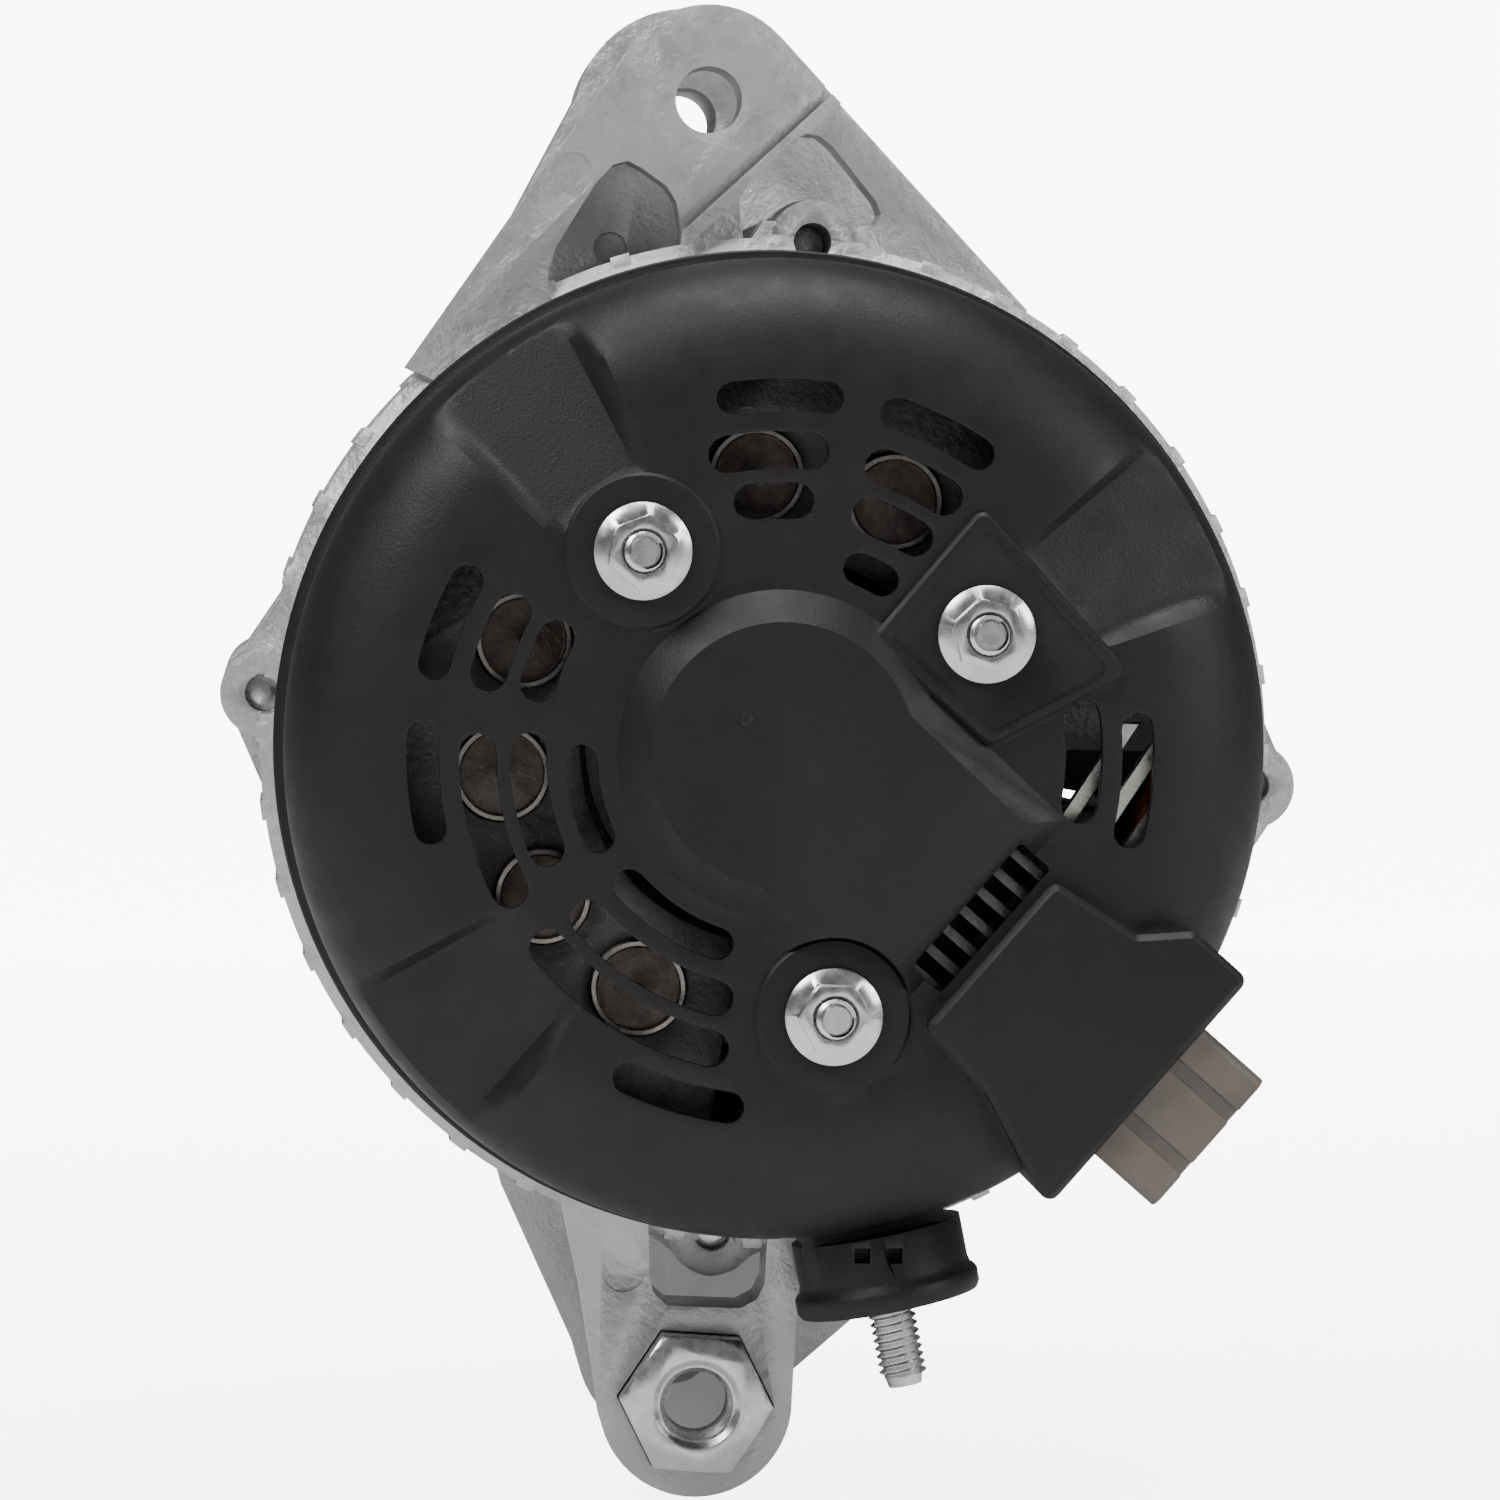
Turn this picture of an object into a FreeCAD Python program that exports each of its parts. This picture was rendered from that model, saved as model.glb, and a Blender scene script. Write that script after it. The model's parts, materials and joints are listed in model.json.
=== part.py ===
# Car alternator, built as a FreeCAD document of separate pieces.
# Frame: origin where the shaft axis crosses the middle of the belt, +Y along the shaft towards
# the pulley nut, +Z up through the upper mounting ear, millimetres.
import FreeCAD, Part
import math
import os
import re

import Sketcher

doc = FreeCAD.newDocument("alternator")
sheet = doc.addObject("Spreadsheet::Sheet", "dims")

DRIVING = {
    # axial stations, rear cover at the low end
    "cover_face": -146, "cover_rim": -118, "cover_wall": 2.5, "boss_height": 3, "block_height": 4,
    "rear_frame_back": -117, "rear_frame_front": -87, "front_frame_back": -57,
    "front_frame_nose": -21, "pilot_depth": 3, "frame_wall": 4.5, "web_thickness": 5,
    "pulley_back": -13, "pulley_front": 14, "pulley_web_front": 3, "shaft_nose": 17,
    "shaft_tail": -141, "front_bearing_back": -36, "front_bearing_width": 12,
    "rear_bearing_back": -120, "rear_bearing_width": 10,
    # radii about the shaft axis
    "cover_radius": 62.1, "frame_radius": 63.8, "core_radius": 61, "stator_bore": 47.4,
    "rotor_radius": 47, "shaft_radius": 8.5, "pole_seat": 9.5, "shaft_tail_radius": 6,
    "slip_seat": 5, "slip_sleeve_radius": 6.3, "slip_ring_radius": 7.5, "pulley_radius": 28.5,
    "front_race_outer": 20, "rear_race_outer": 16,
    "front_ball_track": 14.5, "front_ball_radius": 3.3, "rear_ball_track": 11,
    "rear_ball_radius": 2.5, "ball_play": 0.2,
    # mounting ears and their bolt axes
    "upper_bolt_x": -7.1, "upper_bolt_z": 81.1, "upper_ear_radius": 12, "upper_bore": 4.2,
    "lower_bolt_x": -8.9, "lower_bolt_z": -83.4, "lower_ear_radius": 12.3, "lower_bore": 5.25,
    "rear_ear_back": -114, "rear_ear_thickness": 12, "front_ear_back": -56,
    "front_ear_thickness": 24, "pivot_nut_flats": 17, "pivot_nut_height": 10,
    # fasteners
    "case_bolt_circle": 63.6, "case_bolt_tilt": -5.5, "case_bolt_radius": 2.4, "bolt_boss_radius": 5.6,
    "stud_radius": 2.45, "nut_flats": 8, "nut_flange": 6, "washer_radius": 5.8,
    # output terminal
    "terminal_x": 12, "terminal_y": -127, "terminal_z": -55.3, "terminal_tilt": 11, "terminal_radius": 3,
    # regulator, brushes and plug, along the direction at regulator_angle
    "regulator_angle": -41.6, "block_start": 35, "block_end": 61, "plug_end": 71,
    "brush_width": 6.4, "brush_depth": 4.6, "brush_length": 10, "brush_play": 0.15,
    "front_brush_y": -129, "rear_brush_y": -137,
    # rectifier
    "rectifier_start": 50, "rectifier_sweep": 210, "diode_circle": 34, "diode_radius": 6,
}
for row, (alias, number) in enumerate(DRIVING.items(), start=1):
    sheet.set(f"A{row}", alias)
    sheet.set(f"B{row}", str(number))
    sheet.setAlias(f"B{row}", alias)
doc.recompute()

Vector = FreeCAD.Vector
SHAFT = Vector(0, 1, 0)
PITCH = 3.56
TEETH = 36
CLAWS = 8
FAN_BLADES = 11
CASE_BOLTS = 4
WALL_RIBS = 40
COVER_STUDS = [(-17.0, 24.8), (25.0, 14.6), (6.3, -32.1)]
POSITIVE_DIODES = [64.4, 94, 156.3, 184.7, 212, 239.9]
pieces = {}


def size(alias):
    """The number that a cell of the sheet holds."""
    return float(getattr(sheet, alias))


def bound(formula):
    """A formula in sheet aliases, as an expression of this document."""
    return re.sub(r"\b([a-z][a-z_]+)\b(?!\()", r"dims.\1", str(formula))


def keep(name, shape_object, placement=None):
    """Name a finished sub-part after its node."""
    shape_object.Label = name
    if placement is not None:
        shape_object.Placement = placement
    pieces[name] = shape_object
    return shape_object


def about_shaft(angle):
    """Turn by an angle about the shaft, from +X towards +Z."""
    return FreeCAD.Placement(Vector(), FreeCAD.Rotation(SHAFT, -angle))


def new_sketch(body, plane, name):
    """A sketch on one of the body's own origin planes."""
    sketch = body.newObject("Sketcher::SketchObject", name)
    support = [face for face in body.Origin.OriginFeatures if face.Role == plane][0]
    sketch.AttachmentSupport = [(support, "")]
    sketch.MapMode = "FlatFace"
    return sketch


def draw_outline(sketch, points):
    """A closed outline whose corners are formulas in sheet aliases."""
    count = len(points)
    start = sketch.GeometryCount
    for index in range(count):
        here = Vector(math.cos(6 * index / count), math.sin(6 * index / count), 0)
        there = Vector(math.cos(6 * (index + 1) / count), math.sin(6 * (index + 1) / count), 0)
        sketch.addGeometry(Part.LineSegment(here, there))
    for index in range(count):
        following = start + (index + 1) % count
        sketch.addConstraint(Sketcher.Constraint("Coincident", start + index, 2, following, 1))
    for index, corner in enumerate(points):
        for kind, formula in zip(("DistanceX", "DistanceY"), corner):
            row = sketch.addConstraint(Sketcher.Constraint(kind, -1, 1, start + index, 1, 1.0))
            sketch.setExpression(f"Constraints[{row}]", bound(formula))


def draw_circle(sketch, centre, radius):
    """A circle whose centre and radius are formulas in sheet aliases."""
    edge = sketch.addGeometry(Part.Circle(Vector(1, 1, 0), Vector(0, 0, 1), 1))
    row = sketch.addConstraint(Sketcher.Constraint("Radius", edge, 1.0))
    sketch.setExpression(f"Constraints[{row}]", bound(radius))
    for kind, formula in zip(("DistanceX", "DistanceY"), centre):
        row = sketch.addConstraint(Sketcher.Constraint(kind, -1, 1, edge, 3, 1.0))
        sketch.setExpression(f"Constraints[{row}]", bound(formula))


def turned(name, outline, angle=360.0, turn=0.0):
    """A body turned about the shaft; the outline's corners are (radius, station)."""
    body = doc.addObject("PartDesign::Body", name)
    sketch = new_sketch(body, "XY_Plane", name + "_profile")
    draw_outline(sketch, outline)
    revolution = body.newObject("PartDesign::Revolution", name + "_turn")
    revolution.Profile = sketch
    revolution.ReferenceAxis = (sketch, ["V_Axis"])
    revolution.Reversed = True
    revolution.Angle = angle
    body.Placement = about_shaft(turn)
    return body


def ring(name, inner, outer, back, front, angle=360.0, turn=0.0):
    """A plain ring or sector between two radii and two stations."""
    corners = [(inner, back), (outer, back), (outer, front), (inner, front)]
    return turned(name, corners, angle, turn)


def padded(name, back, length, outlines=(), circles=()):
    """A body drawn square to the shaft and padded forwards from its rear station."""
    body = doc.addObject("PartDesign::Body", name)
    sketch = new_sketch(body, "XZ_Plane", name + "_outline")
    sketch.setExpression(".AttachmentOffset.Base.z", bound(f"-({back})"))
    for outline in outlines:
        draw_outline(sketch, outline)
    for centre, radius in circles:
        draw_circle(sketch, centre, radius)
    pad = body.newObject("PartDesign::Pad", name + "_pad")
    pad.Profile = sketch
    pad.Reversed = True
    pad.setExpression("Length", bound(length))
    return body


def fused(name, members):
    """Several objects joined into one."""
    union = doc.addObject("Part::MultiFuse", name)
    union.Shapes = members
    return union


def grouped(name, members):
    """Separate solids that share a node."""
    group = doc.addObject("Part::Compound", name)
    group.Links = members
    return group


def cut(name, base, tool):
    """The base with the tool taken away."""
    difference = doc.addObject("Part::Cut", name)
    difference.Base = base
    difference.Tool = tool
    return difference


def copies(name, source, count, start=0.0, sweep=360.0):
    """Copies of an object spaced evenly about the shaft."""
    members = []
    for index in range(count):
        twin = doc.addObject("App::Link", f"{name}_{index + 1}")
        twin.LinkedObject = source
        twin.LinkTransform = True
        twin.LinkPlacement = about_shaft(start + sweep * index / count)
        members.append(twin)
    return grouped(name, members)


def along_shaft(x, y, z):
    """Placement of a primitive whose own axis is to point along +Y."""
    return FreeCAD.Placement(Vector(x, y, z), FreeCAD.Rotation(Vector(1, 0, 0), -90))


def rod(name, radius, back, length, x=0.0, z=0.0):
    """A cylinder along the shaft direction."""
    cylinder = doc.addObject("Part::Cylinder", name)
    cylinder.setExpression("Radius", bound(radius))
    cylinder.setExpression("Height", bound(length))
    cylinder.Placement = along_shaft(x, 0, z)
    cylinder.setExpression(".Placement.Base.y", bound(back))
    return cylinder


def hexagon(name, flats, back, length, x=0.0, z=0.0, turn=0.0):
    """A hexagonal prism along the shaft direction, measured across its flats."""
    prism = doc.addObject("Part::Prism", name)
    prism.Polygon = 6
    prism.setExpression("Circumradius", bound(f"({flats}) / sqrt(3)"))
    prism.setExpression("Height", bound(length))
    lie_down = FreeCAD.Rotation(Vector(1, 0, 0), -90)
    prism.Placement = FreeCAD.Placement(Vector(x, 0, z), FreeCAD.Rotation(SHAFT, turn) * lie_down)
    prism.setExpression(".Placement.Base.y", bound(back))
    return prism


def radial_box(name, start, length, side, width, back, depth):
    """A box laid along the regulator's direction: outwards, across and along the shaft."""
    box = doc.addObject("Part::Box", name)
    box.setExpression("Length", bound(length))
    box.setExpression("Width", bound(depth))
    box.setExpression("Height", bound(width))
    box.Placement = about_shaft(size("regulator_angle"))
    for axis, formula in (("x", f"({start}) * cos(regulator_angle) - ({side}) * sin(regulator_angle)"),
                          ("y", back),
                          ("z", f"({start}) * sin(regulator_angle) + ({side}) * cos(regulator_angle)")):
        box.setExpression(f".Placement.Base.{axis}", bound(formula))
    return box


def polar(radius, angle):
    """X and Z of a point at a radius and an angle about the shaft."""
    return radius * math.cos(math.radians(angle)), radius * math.sin(math.radians(angle))


# --- rotor ------------------------------------------------------------------------------------
keep("shaft", turned("shaft", [
    (0, "shaft_tail"), ("slip_seat", "shaft_tail"), ("slip_seat", "rear_bearing_back - 1"),
    ("shaft_tail_radius", "rear_bearing_back - 1"), ("shaft_tail_radius", "rear_bearing_back + 10"),
    (7.5, "rear_bearing_back + 10"), (7.5, -102), ("pole_seat", -102), ("pole_seat", -40),
    (10.5, -40), (10.5, "front_bearing_back"), ("shaft_radius", "front_bearing_back"),
    ("shaft_radius", "pulley_web_front"), (7.9, "pulley_web_front + 1"),
    (7.9, "shaft_nose - 1"), (6.9, "shaft_nose"), (0, "shaft_nose")]))


def claw_pole(name, disc_back, disc_front, hub_back, hub_front, claw_back, claw_front, turn):
    """Half of the rotor: a hub, a disc and claws that reach over the field coil."""
    hub = ring(name + "_hub", "pole_seat", 18, hub_back, hub_front)
    disc = ring(name + "_disc", "pole_seat", 37.5, disc_back, disc_front)
    root = ring(name + "_root", 37, "rotor_radius", disc_back, disc_front, 20.0, turn - 10)
    finger = ring(name + "_finger", 40, "rotor_radius", claw_back, claw_front, 20.0, turn - 10)
    claws = copies(name + "_claws", fused(name + "_claw", [root, finger]), CLAWS)
    return keep(name, fused(name, [hub, disc, claws]))


claw_pole("pole_front", -64, -53, -72, -64, -88, -53, 0.0)
claw_pole("pole_rear", -91, -80, -80, -72, -91, -56, 22.5)
keep("coil_bobbin", turned("coil_bobbin", [
    (18.1, -79.8), (36.8, -79.8), (36.8, -78.6), (19.3, -78.6),
    (19.3, -65.4), (36.8, -65.4), (36.8, -64.2), (18.1, -64.2)]))
keep("field_coil", ring("field_coil", 19.4, 36, -78.5, -65.5))


def fan(name, plate_back, plate_front, blade_back, blade_length):
    """A pressed disc with upright blades round its edge."""
    plate = ring(name + "_plate", "pole_seat", 40, plate_back, plate_front)
    blade = padded(name + "_blade", blade_back, blade_length,
                   [[(26, -1), (43, 5), (43, 6.6), (26, 0.8)]])
    return keep(name, fused(name, [plate, copies(name + "_blades", blade, FAN_BLADES)]))


fan("front_fan", -53, -51.4, -51.8, 7.3)
fan("rear_fan", -92.6, -91, -100, 7.8)

keep("slip_ring_sleeve", ring("slip_ring_sleeve", "slip_seat", "slip_sleeve_radius",
                              "shaft_tail + 0.6", "rear_bearing_back - 2"))
for end in ("front", "rear"):
    keep(f"slip_ring_{end}", ring(f"slip_ring_{end}", "slip_sleeve_radius", "slip_ring_radius",
                                  f"{end}_brush_y - 2.7", f"{end}_brush_y + 2.7"))

groove_count = 6
pulley_outline = [("shaft_radius", "pulley_back"), (13, "pulley_back"), (13, "pulley_back + 7"),
                  (22.5, "pulley_back + 7"), (22.5, "pulley_back"), ("pulley_radius", "pulley_back")]
for groove in range(groove_count):
    middle = (groove - (groove_count - 1) / 2) * PITCH
    pulley_outline += [("pulley_radius", middle - 1.45), ("pulley_radius - 2.6", middle - 0.4),
                       ("pulley_radius - 2.6", middle + 0.4), ("pulley_radius", middle + 1.45)]
pulley_outline += [("pulley_radius", "pulley_front"), (22, "pulley_front"),
                   (20, "pulley_web_front"), ("shaft_radius", "pulley_web_front")]
keep("pulley", turned("pulley", pulley_outline))
keep("pulley_spacer", ring("pulley_spacer", "shaft_radius", 11.5,
                           "front_bearing_back + front_bearing_width", "pulley_back"))
nut_blank = hexagon("pulley_nut_blank", 24, "pulley_web_front + 1.5", 10)
nut_bore = rod("pulley_nut_bore", 8, "pulley_web_front", 14)
keep("pulley_nut", cut("pulley_nut", nut_blank, nut_bore))
keep("pulley_washer", ring("pulley_washer", "shaft_radius", 15, "pulley_web_front",
                           "pulley_web_front + 1.5"))


# --- bearings ---------------------------------------------------------------------------------
def bearing(end, bore, count):
    """A sealed deep-groove ball bearing: races, a ball set and its cage."""
    back = f"{end}_bearing_back"
    front = f"{end}_bearing_back + {end}_bearing_width"
    track = f"{end}_ball_track"
    ball = f"{end}_ball_radius"
    keep(f"{end}_inner_race", ring(f"{end}_inner_race", bore, f"{track} - {ball} - ball_play",
                                   back, front))
    keep(f"{end}_outer_race", ring(f"{end}_outer_race", f"{track} + {ball} + ball_play",
                                   f"{end}_race_outer", back, front))
    middle = size(back) + size(f"{end}_bearing_width") / 2
    balls = []
    for index in range(count):
        sphere = doc.addObject("Part::Sphere", f"{end}_ball_{index + 1}")
        sphere.setExpression("Radius", bound(ball))
        x, z = polar(size(track), 360 * index / count)
        sphere.Placement.Base = Vector(x, middle, z)
        balls.append(sphere)
    drill = doc.addObject("Part::Cylinder", f"{end}_pocket_drill")
    drill.setExpression("Radius", bound(f"{ball} + 0.12"))
    drill.Height = 40
    drill.Placement = FreeCAD.Placement(Vector(0, middle, 0), FreeCAD.Rotation(SHAFT, 90))
    pockets = copies(f"{end}_pockets", drill, count)
    keep(f"{end}_balls", grouped(f"{end}_balls", balls))
    blank = ring(f"{end}_cage_blank", f"{track} - {ball} * 0.4", f"{track} + {ball} * 0.4",
                 middle - size(ball) - 0.7, middle + size(ball) + 0.7)
    keep(f"{end}_cage", cut(f"{end}_cage", blank, pockets))
    seals = []
    for side, face, way in (("inside", back, 1), ("outside", front, -1)):
        seals.append(ring(f"{end}_seal_{side}", f"{track} - {ball}",
                          f"{track} + {ball} + ball_play", f"{face} + {way * 0.2}",
                          f"{face} + {way * 0.8}"))
    keep(f"{end}_bearing_seals", grouped(f"{end}_bearing_seals", seals))


bearing("front", "shaft_radius", 8)
bearing("rear", "shaft_tail_radius", 8)

# --- castings ---------------------------------------------------------------------------------
UPPER_BOLT = (size("upper_bolt_x"), size("upper_bolt_z"))
LOWER_BOLT = (size("lower_bolt_x"), size("lower_bolt_z"))
NUT_TURN = 4


def bolt_bosses(name, radius, back, length):
    """Round bosses, or holes, on the case bolt circle."""
    x, z = polar(size("case_bolt_circle"), size("case_bolt_tilt"))
    return copies(name, rod(name + "_first", radius, back, length, x, z), CASE_BOLTS)


def boss_flanks(name, back, length):
    """Webs that run from the bolt bosses back into the frame's wall."""
    tilt, radius = size("case_bolt_tilt"), size("bolt_boss_radius")
    x, z = polar(size("case_bolt_circle"), tilt)
    wall, root = size("frame_radius"), size("core_radius") + 0.3
    tips = [polar(radius, tilt + side) for side in (-58, 58)]
    outline = [polar(root, tilt - 9), polar(wall - 0.3, tilt - 11.5), (x + tips[0][0], z + tips[0][1]),
               (x + tips[1][0], z + tips[1][1]), polar(wall - 0.3, tilt + 11.5), polar(root, tilt + 9)]
    return copies(name, padded(name + "_first", back, length, [outline]), CASE_BOLTS)


def wall_ribs(name, back, front):
    """Thin ribs along the outside of a frame's wall, between its openings."""
    first = ring(name + "_first", "frame_radius - 1", "frame_radius + 0.45", back, front, 2.2, 6.5)
    return copies(name, first, WALL_RIBS)


def vents(name, inner, outer, back, front, count, share, turn=0.0):
    """Openings spaced evenly round a wall or a web."""
    step = 360 / count
    first = ring(name + "_first", inner, outer, back, front, step * share, turn)
    return copies(name, first, count)


drive_shell = turned("drive_shell", [
    (12.5, "front_frame_nose"), (26, "front_frame_nose"), (27.5, -25), (56.5, -28),
    ("frame_radius", -35), ("frame_radius", "front_frame_back"),
    ("core_radius + 0.05", "front_frame_back"),
    ("core_radius + 0.05", "front_frame_back + pilot_depth"),
    ("frame_radius - frame_wall", "front_frame_back + pilot_depth"),
    ("frame_radius - frame_wall", -37), (56, -33), (27.5, -30.5), (27, -37),
    ("front_race_outer", "front_bearing_back - 1"),
    ("front_race_outer", "front_bearing_back + front_bearing_width"),
    (12.5, "front_bearing_back + front_bearing_width")])
drive_web_vents = vents("drive_web_vents", 34, 52, -40, -20, 12, 0.66, 5)
drive_wall_vents = vents("drive_wall_vents", 55, 70, -52, -37.5, WALL_RIBS, 0.55, 9.6)
drive_open = cut("drive_open", drive_shell, fused("drive_vents", [drive_web_vents, drive_wall_vents]))
front_ears = [
    padded("front_upper_plate", "front_ear_back", "front_ear_thickness",
           [[(-42, 45), (-40, 50), ("upper_bolt_x - 10.5", "upper_bolt_z + 10.5"),
             ("upper_bolt_x + 10.5", "upper_bolt_z + 10.5"), (28, 58), (30, 50)]]),
    rod("front_upper_eye", "upper_ear_radius + 2.8", "front_ear_back", "front_ear_thickness",
        *UPPER_BOLT),
    padded("front_lower_plate", "front_ear_back", "front_ear_thickness",
           [[(-34, -50), (-32, -61.5), ("lower_bolt_x - 11.5", "lower_bolt_z - 4"),
             ("lower_bolt_x + 6", "lower_bolt_z - 12.3"), (15.1, -80.3), (20, -60), (20, -50)]]),
    rod("front_lower_eye", "lower_ear_radius + 0.6", "front_ear_back", "front_ear_thickness",
        *LOWER_BOLT)]
drive_solid = fused("drive_solid", [drive_open] + front_ears + [
    bolt_bosses("drive_bosses", "bolt_boss_radius", "front_frame_back", 27),
    boss_flanks("drive_flanks", "front_frame_back", 22),
    wall_ribs("drive_ribs", "front_frame_back", -34.5)])
drive_tools = fused("drive_tools", [
    ring("drive_cavity", 0, "frame_radius - frame_wall", "front_frame_back + pilot_depth", -37),
    rod("drive_pilot", "core_radius + 0.05", "front_frame_back - 1", "pilot_depth + 1"),
    rod("front_upper_hole", "upper_bore", "front_ear_back - 5", 40,
        *UPPER_BOLT),
    rod("front_lower_hole", "lower_bore", "front_ear_back - 5", 40,
        *LOWER_BOLT),
    bolt_bosses("drive_holes", "case_bolt_radius + 0.15", "front_frame_back - 1", 40)])
keep("drive_frame", cut("drive_frame", drive_solid, drive_tools))

rear_shell = turned("rear_shell", [
    (9, "rear_bearing_back - 1.5"), (20, "rear_bearing_back - 1.5"), (20, "rear_frame_back"),
    ("core_radius - 1", "rear_frame_back"), ("core_radius + 0.4", "rear_frame_back + 1.4"),
    ("core_radius + 0.4", "rear_frame_back + 3.6"), ("frame_radius", "rear_frame_back + 5"),
    ("frame_radius", "rear_frame_front"), ("core_radius + 0.05", "rear_frame_front"),
    ("core_radius + 0.05", "rear_frame_front - pilot_depth"),
    ("frame_radius - frame_wall", "rear_frame_front - pilot_depth"),
    ("frame_radius - frame_wall", "rear_frame_back + web_thickness"),
    (21, "rear_frame_back + web_thickness"), (21, "rear_bearing_back + 10"),
    ("rear_race_outer", "rear_bearing_back + 10"), ("rear_race_outer", "rear_bearing_back"),
    (9, "rear_bearing_back")])
rear_web_vents = vents("rear_web_vents", 38, 55, -122, -108, 12, 0.66, 9)
rear_wall_vents = vents("rear_wall_vents", 55, 70, -109, -92, WALL_RIBS, 0.55, 9.6)
rear_open = cut("rear_open", rear_shell, fused("rear_vents", [rear_web_vents, rear_wall_vents]))
rear_ears = [
    padded("rear_upper_plate", "rear_ear_back", "rear_ear_thickness",
           [[(-40, 45), (-45.4, 47.5), ("upper_bolt_x - 9.8", "upper_bolt_z + 6.9"),
             ("upper_bolt_x + 8.9", "upper_bolt_z + 8.1"), (33.4, 54.7), (30, 45)]]),
    rod("rear_upper_eye", "upper_ear_radius", "rear_ear_back", "rear_ear_thickness",
        *UPPER_BOLT),
    padded("rear_lower_plate", "rear_ear_back", "rear_ear_thickness",
           [[(-26.5, -55), (-23.3, -69.8), ("lower_bolt_x - lower_ear_radius", "lower_bolt_z"),
             ("lower_bolt_x + lower_ear_radius", "lower_bolt_z"), (4.5, -62), (6, -55)]]),
    rod("rear_lower_eye", "lower_ear_radius", "rear_ear_back", "rear_ear_thickness",
        *LOWER_BOLT)]
ear_pockets = fused("ear_pockets", [
    padded("upper_pocket_left", "rear_ear_back - 1", 10.5,
           [[(-27.4, 55), (-27.4, 59.6), (-26.4, 62.6), (-21.4, 70.6), (-19.2, 72.9), (-17.3, 73.4),
             (-15.6, 72.5), (-12.4, 70.2), (-11.2, 68.2), (-10.5, 64.5), (-11, 60)]]),
    padded("upper_pocket_right", "rear_ear_back - 1", 14,
           [[(-2.6, 63), (-3.2, 68.4), (-2.4, 70.2), (3.2, 75.8), (5.2, 76.9), (7, 76.7), (8.8, 75.2),
             (14.2, 68.4), (14.8, 66.8), (14, 65.4), (12, 65.2), (10, 63)]]),
    padded("upper_step", "rear_ear_back - 1", 3.4,
           [[(-9.4, 63.1), (9, 79.9), (12, 84), (40, 58), (36, 44), (-4, 44)]]),
    padded("upper_groove", "rear_ear_back - 1", 2.4,
           [[(-11.3, 65.6), (9.4, 84.5), (10.3, 83.5), (-10.4, 64.6)]]),
    padded("lower_pocket", "rear_ear_back - 1", 14,
           [[(-15, -55), (-14.7, -67.6), (-14.2, -69.6), (-12.4, -71.3), (-3.2, -71.7), (-1.1, -70.6),
             (-0.1, -68.6), (0.8, -55)]]),
    hexagon("pivot_nut_seat", "pivot_nut_flats + 0.4", "rear_ear_back - 1", 7,
            *LOWER_BOLT, NUT_TURN)])
rear_ears_cut = cut("rear_ears_cut", fused("rear_ears", rear_ears), ear_pockets)
top_x, top_z = polar(size("case_bolt_circle"), size("case_bolt_tilt") + 90)
top_boss = fused("top_boss", [
    rod("top_boss_ring", 5.3, "rear_ear_back + 1.5", 13, top_x, top_z),
    padded("top_boss_foot", "rear_ear_back + 2", 12,
           [[(top_x - 8.6, 62.4), (top_x - 6.2, 66), (top_x + 7.6, 64.8), (top_x + 9.6, 60)]])])
rear_solid = fused("rear_solid", [rear_open, rear_ears_cut, top_boss] + [
    bolt_bosses("rear_bosses", "bolt_boss_radius", -102, 15),
    boss_flanks("rear_flanks", -101, 14), wall_ribs("rear_ribs", -113, "rear_frame_front")])
rear_tools = fused("rear_tools", [
    ring("rear_cavity", 0, "frame_radius - frame_wall", "rear_frame_back + web_thickness",
         "rear_frame_front + 1"),
    rod("rear_pilot", "core_radius + 0.05", "rear_frame_front - pilot_depth", 5),
    rod("rear_upper_hole", "upper_bore", "rear_ear_back - 5", 20,
        *UPPER_BOLT),
    rod("rear_lower_hole", "lower_bore", "rear_ear_back - 5", 20,
        *LOWER_BOLT),
    bolt_bosses("rear_holes", "case_bolt_radius", -114, 32)]
    + [rod(f"stud_hole_{index + 1}", "stud_radius", -119, 5.5, x, z)
       for index, (x, z) in enumerate(COVER_STUDS)])
keep("rear_frame", cut("rear_frame", rear_solid, rear_tools))

pivot_nut_blank = hexagon("pivot_nut_blank", "pivot_nut_flats", "rear_ear_back - 4",
                          "pivot_nut_height", *LOWER_BOLT, NUT_TURN)
pivot_nut_bore = rod("pivot_nut_bore", 4.6, -125, 20, *LOWER_BOLT)
keep("pivot_nut", cut("pivot_nut", pivot_nut_blank, pivot_nut_bore))

# --- stator -----------------------------------------------------------------------------------
core_blank = ring("core_blank", "stator_bore", "core_radius", "rear_frame_front - pilot_depth",
                  "front_frame_back + pilot_depth")
winding_slot = padded("winding_slot", -95, 50, [[(48.6, -2.1), (57.6, -2.1), (57.6, 2.1), (48.6, 2.1)]])
slot_mouth = padded("slot_mouth", -95, 50, [[(46, -0.8), (49, -0.8), (49, 0.8), (46, 0.8)]])
slot_cutter = fused("slot_cutter", [winding_slot, slot_mouth])
keep("stator_core", cut("stator_core", core_blank, copies("core_slots", slot_cutter, TEETH)))
bar = padded("winding_bar", -93, 42, [[(48.9, -1.9), (57.3, -1.9), (57.3, 1.9), (48.9, 1.9)]])
crowns = [ring("crown_front", 48.9, 57.3, -53.5, -42), ring("crown_rear", 48.9, 57.3, -102, -90.5)]
keep("stator_winding", fused("stator_winding", crowns + [copies("winding_bars", bar, TEETH)]))

# --- case bolts, cover studs and their nuts ---------------------------------------------------
x, z = polar(size("case_bolt_circle"), size("case_bolt_tilt"))
case_bolt = fused("case_bolt", [
    rod("case_bolt_shank", "case_bolt_radius", -99.5, 69.5, x, z),
    hexagon("case_bolt_head", 8, -30, 4, x, z),
])
keep("case_bolts", copies("case_bolts", case_bolt, CASE_BOLTS))


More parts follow.
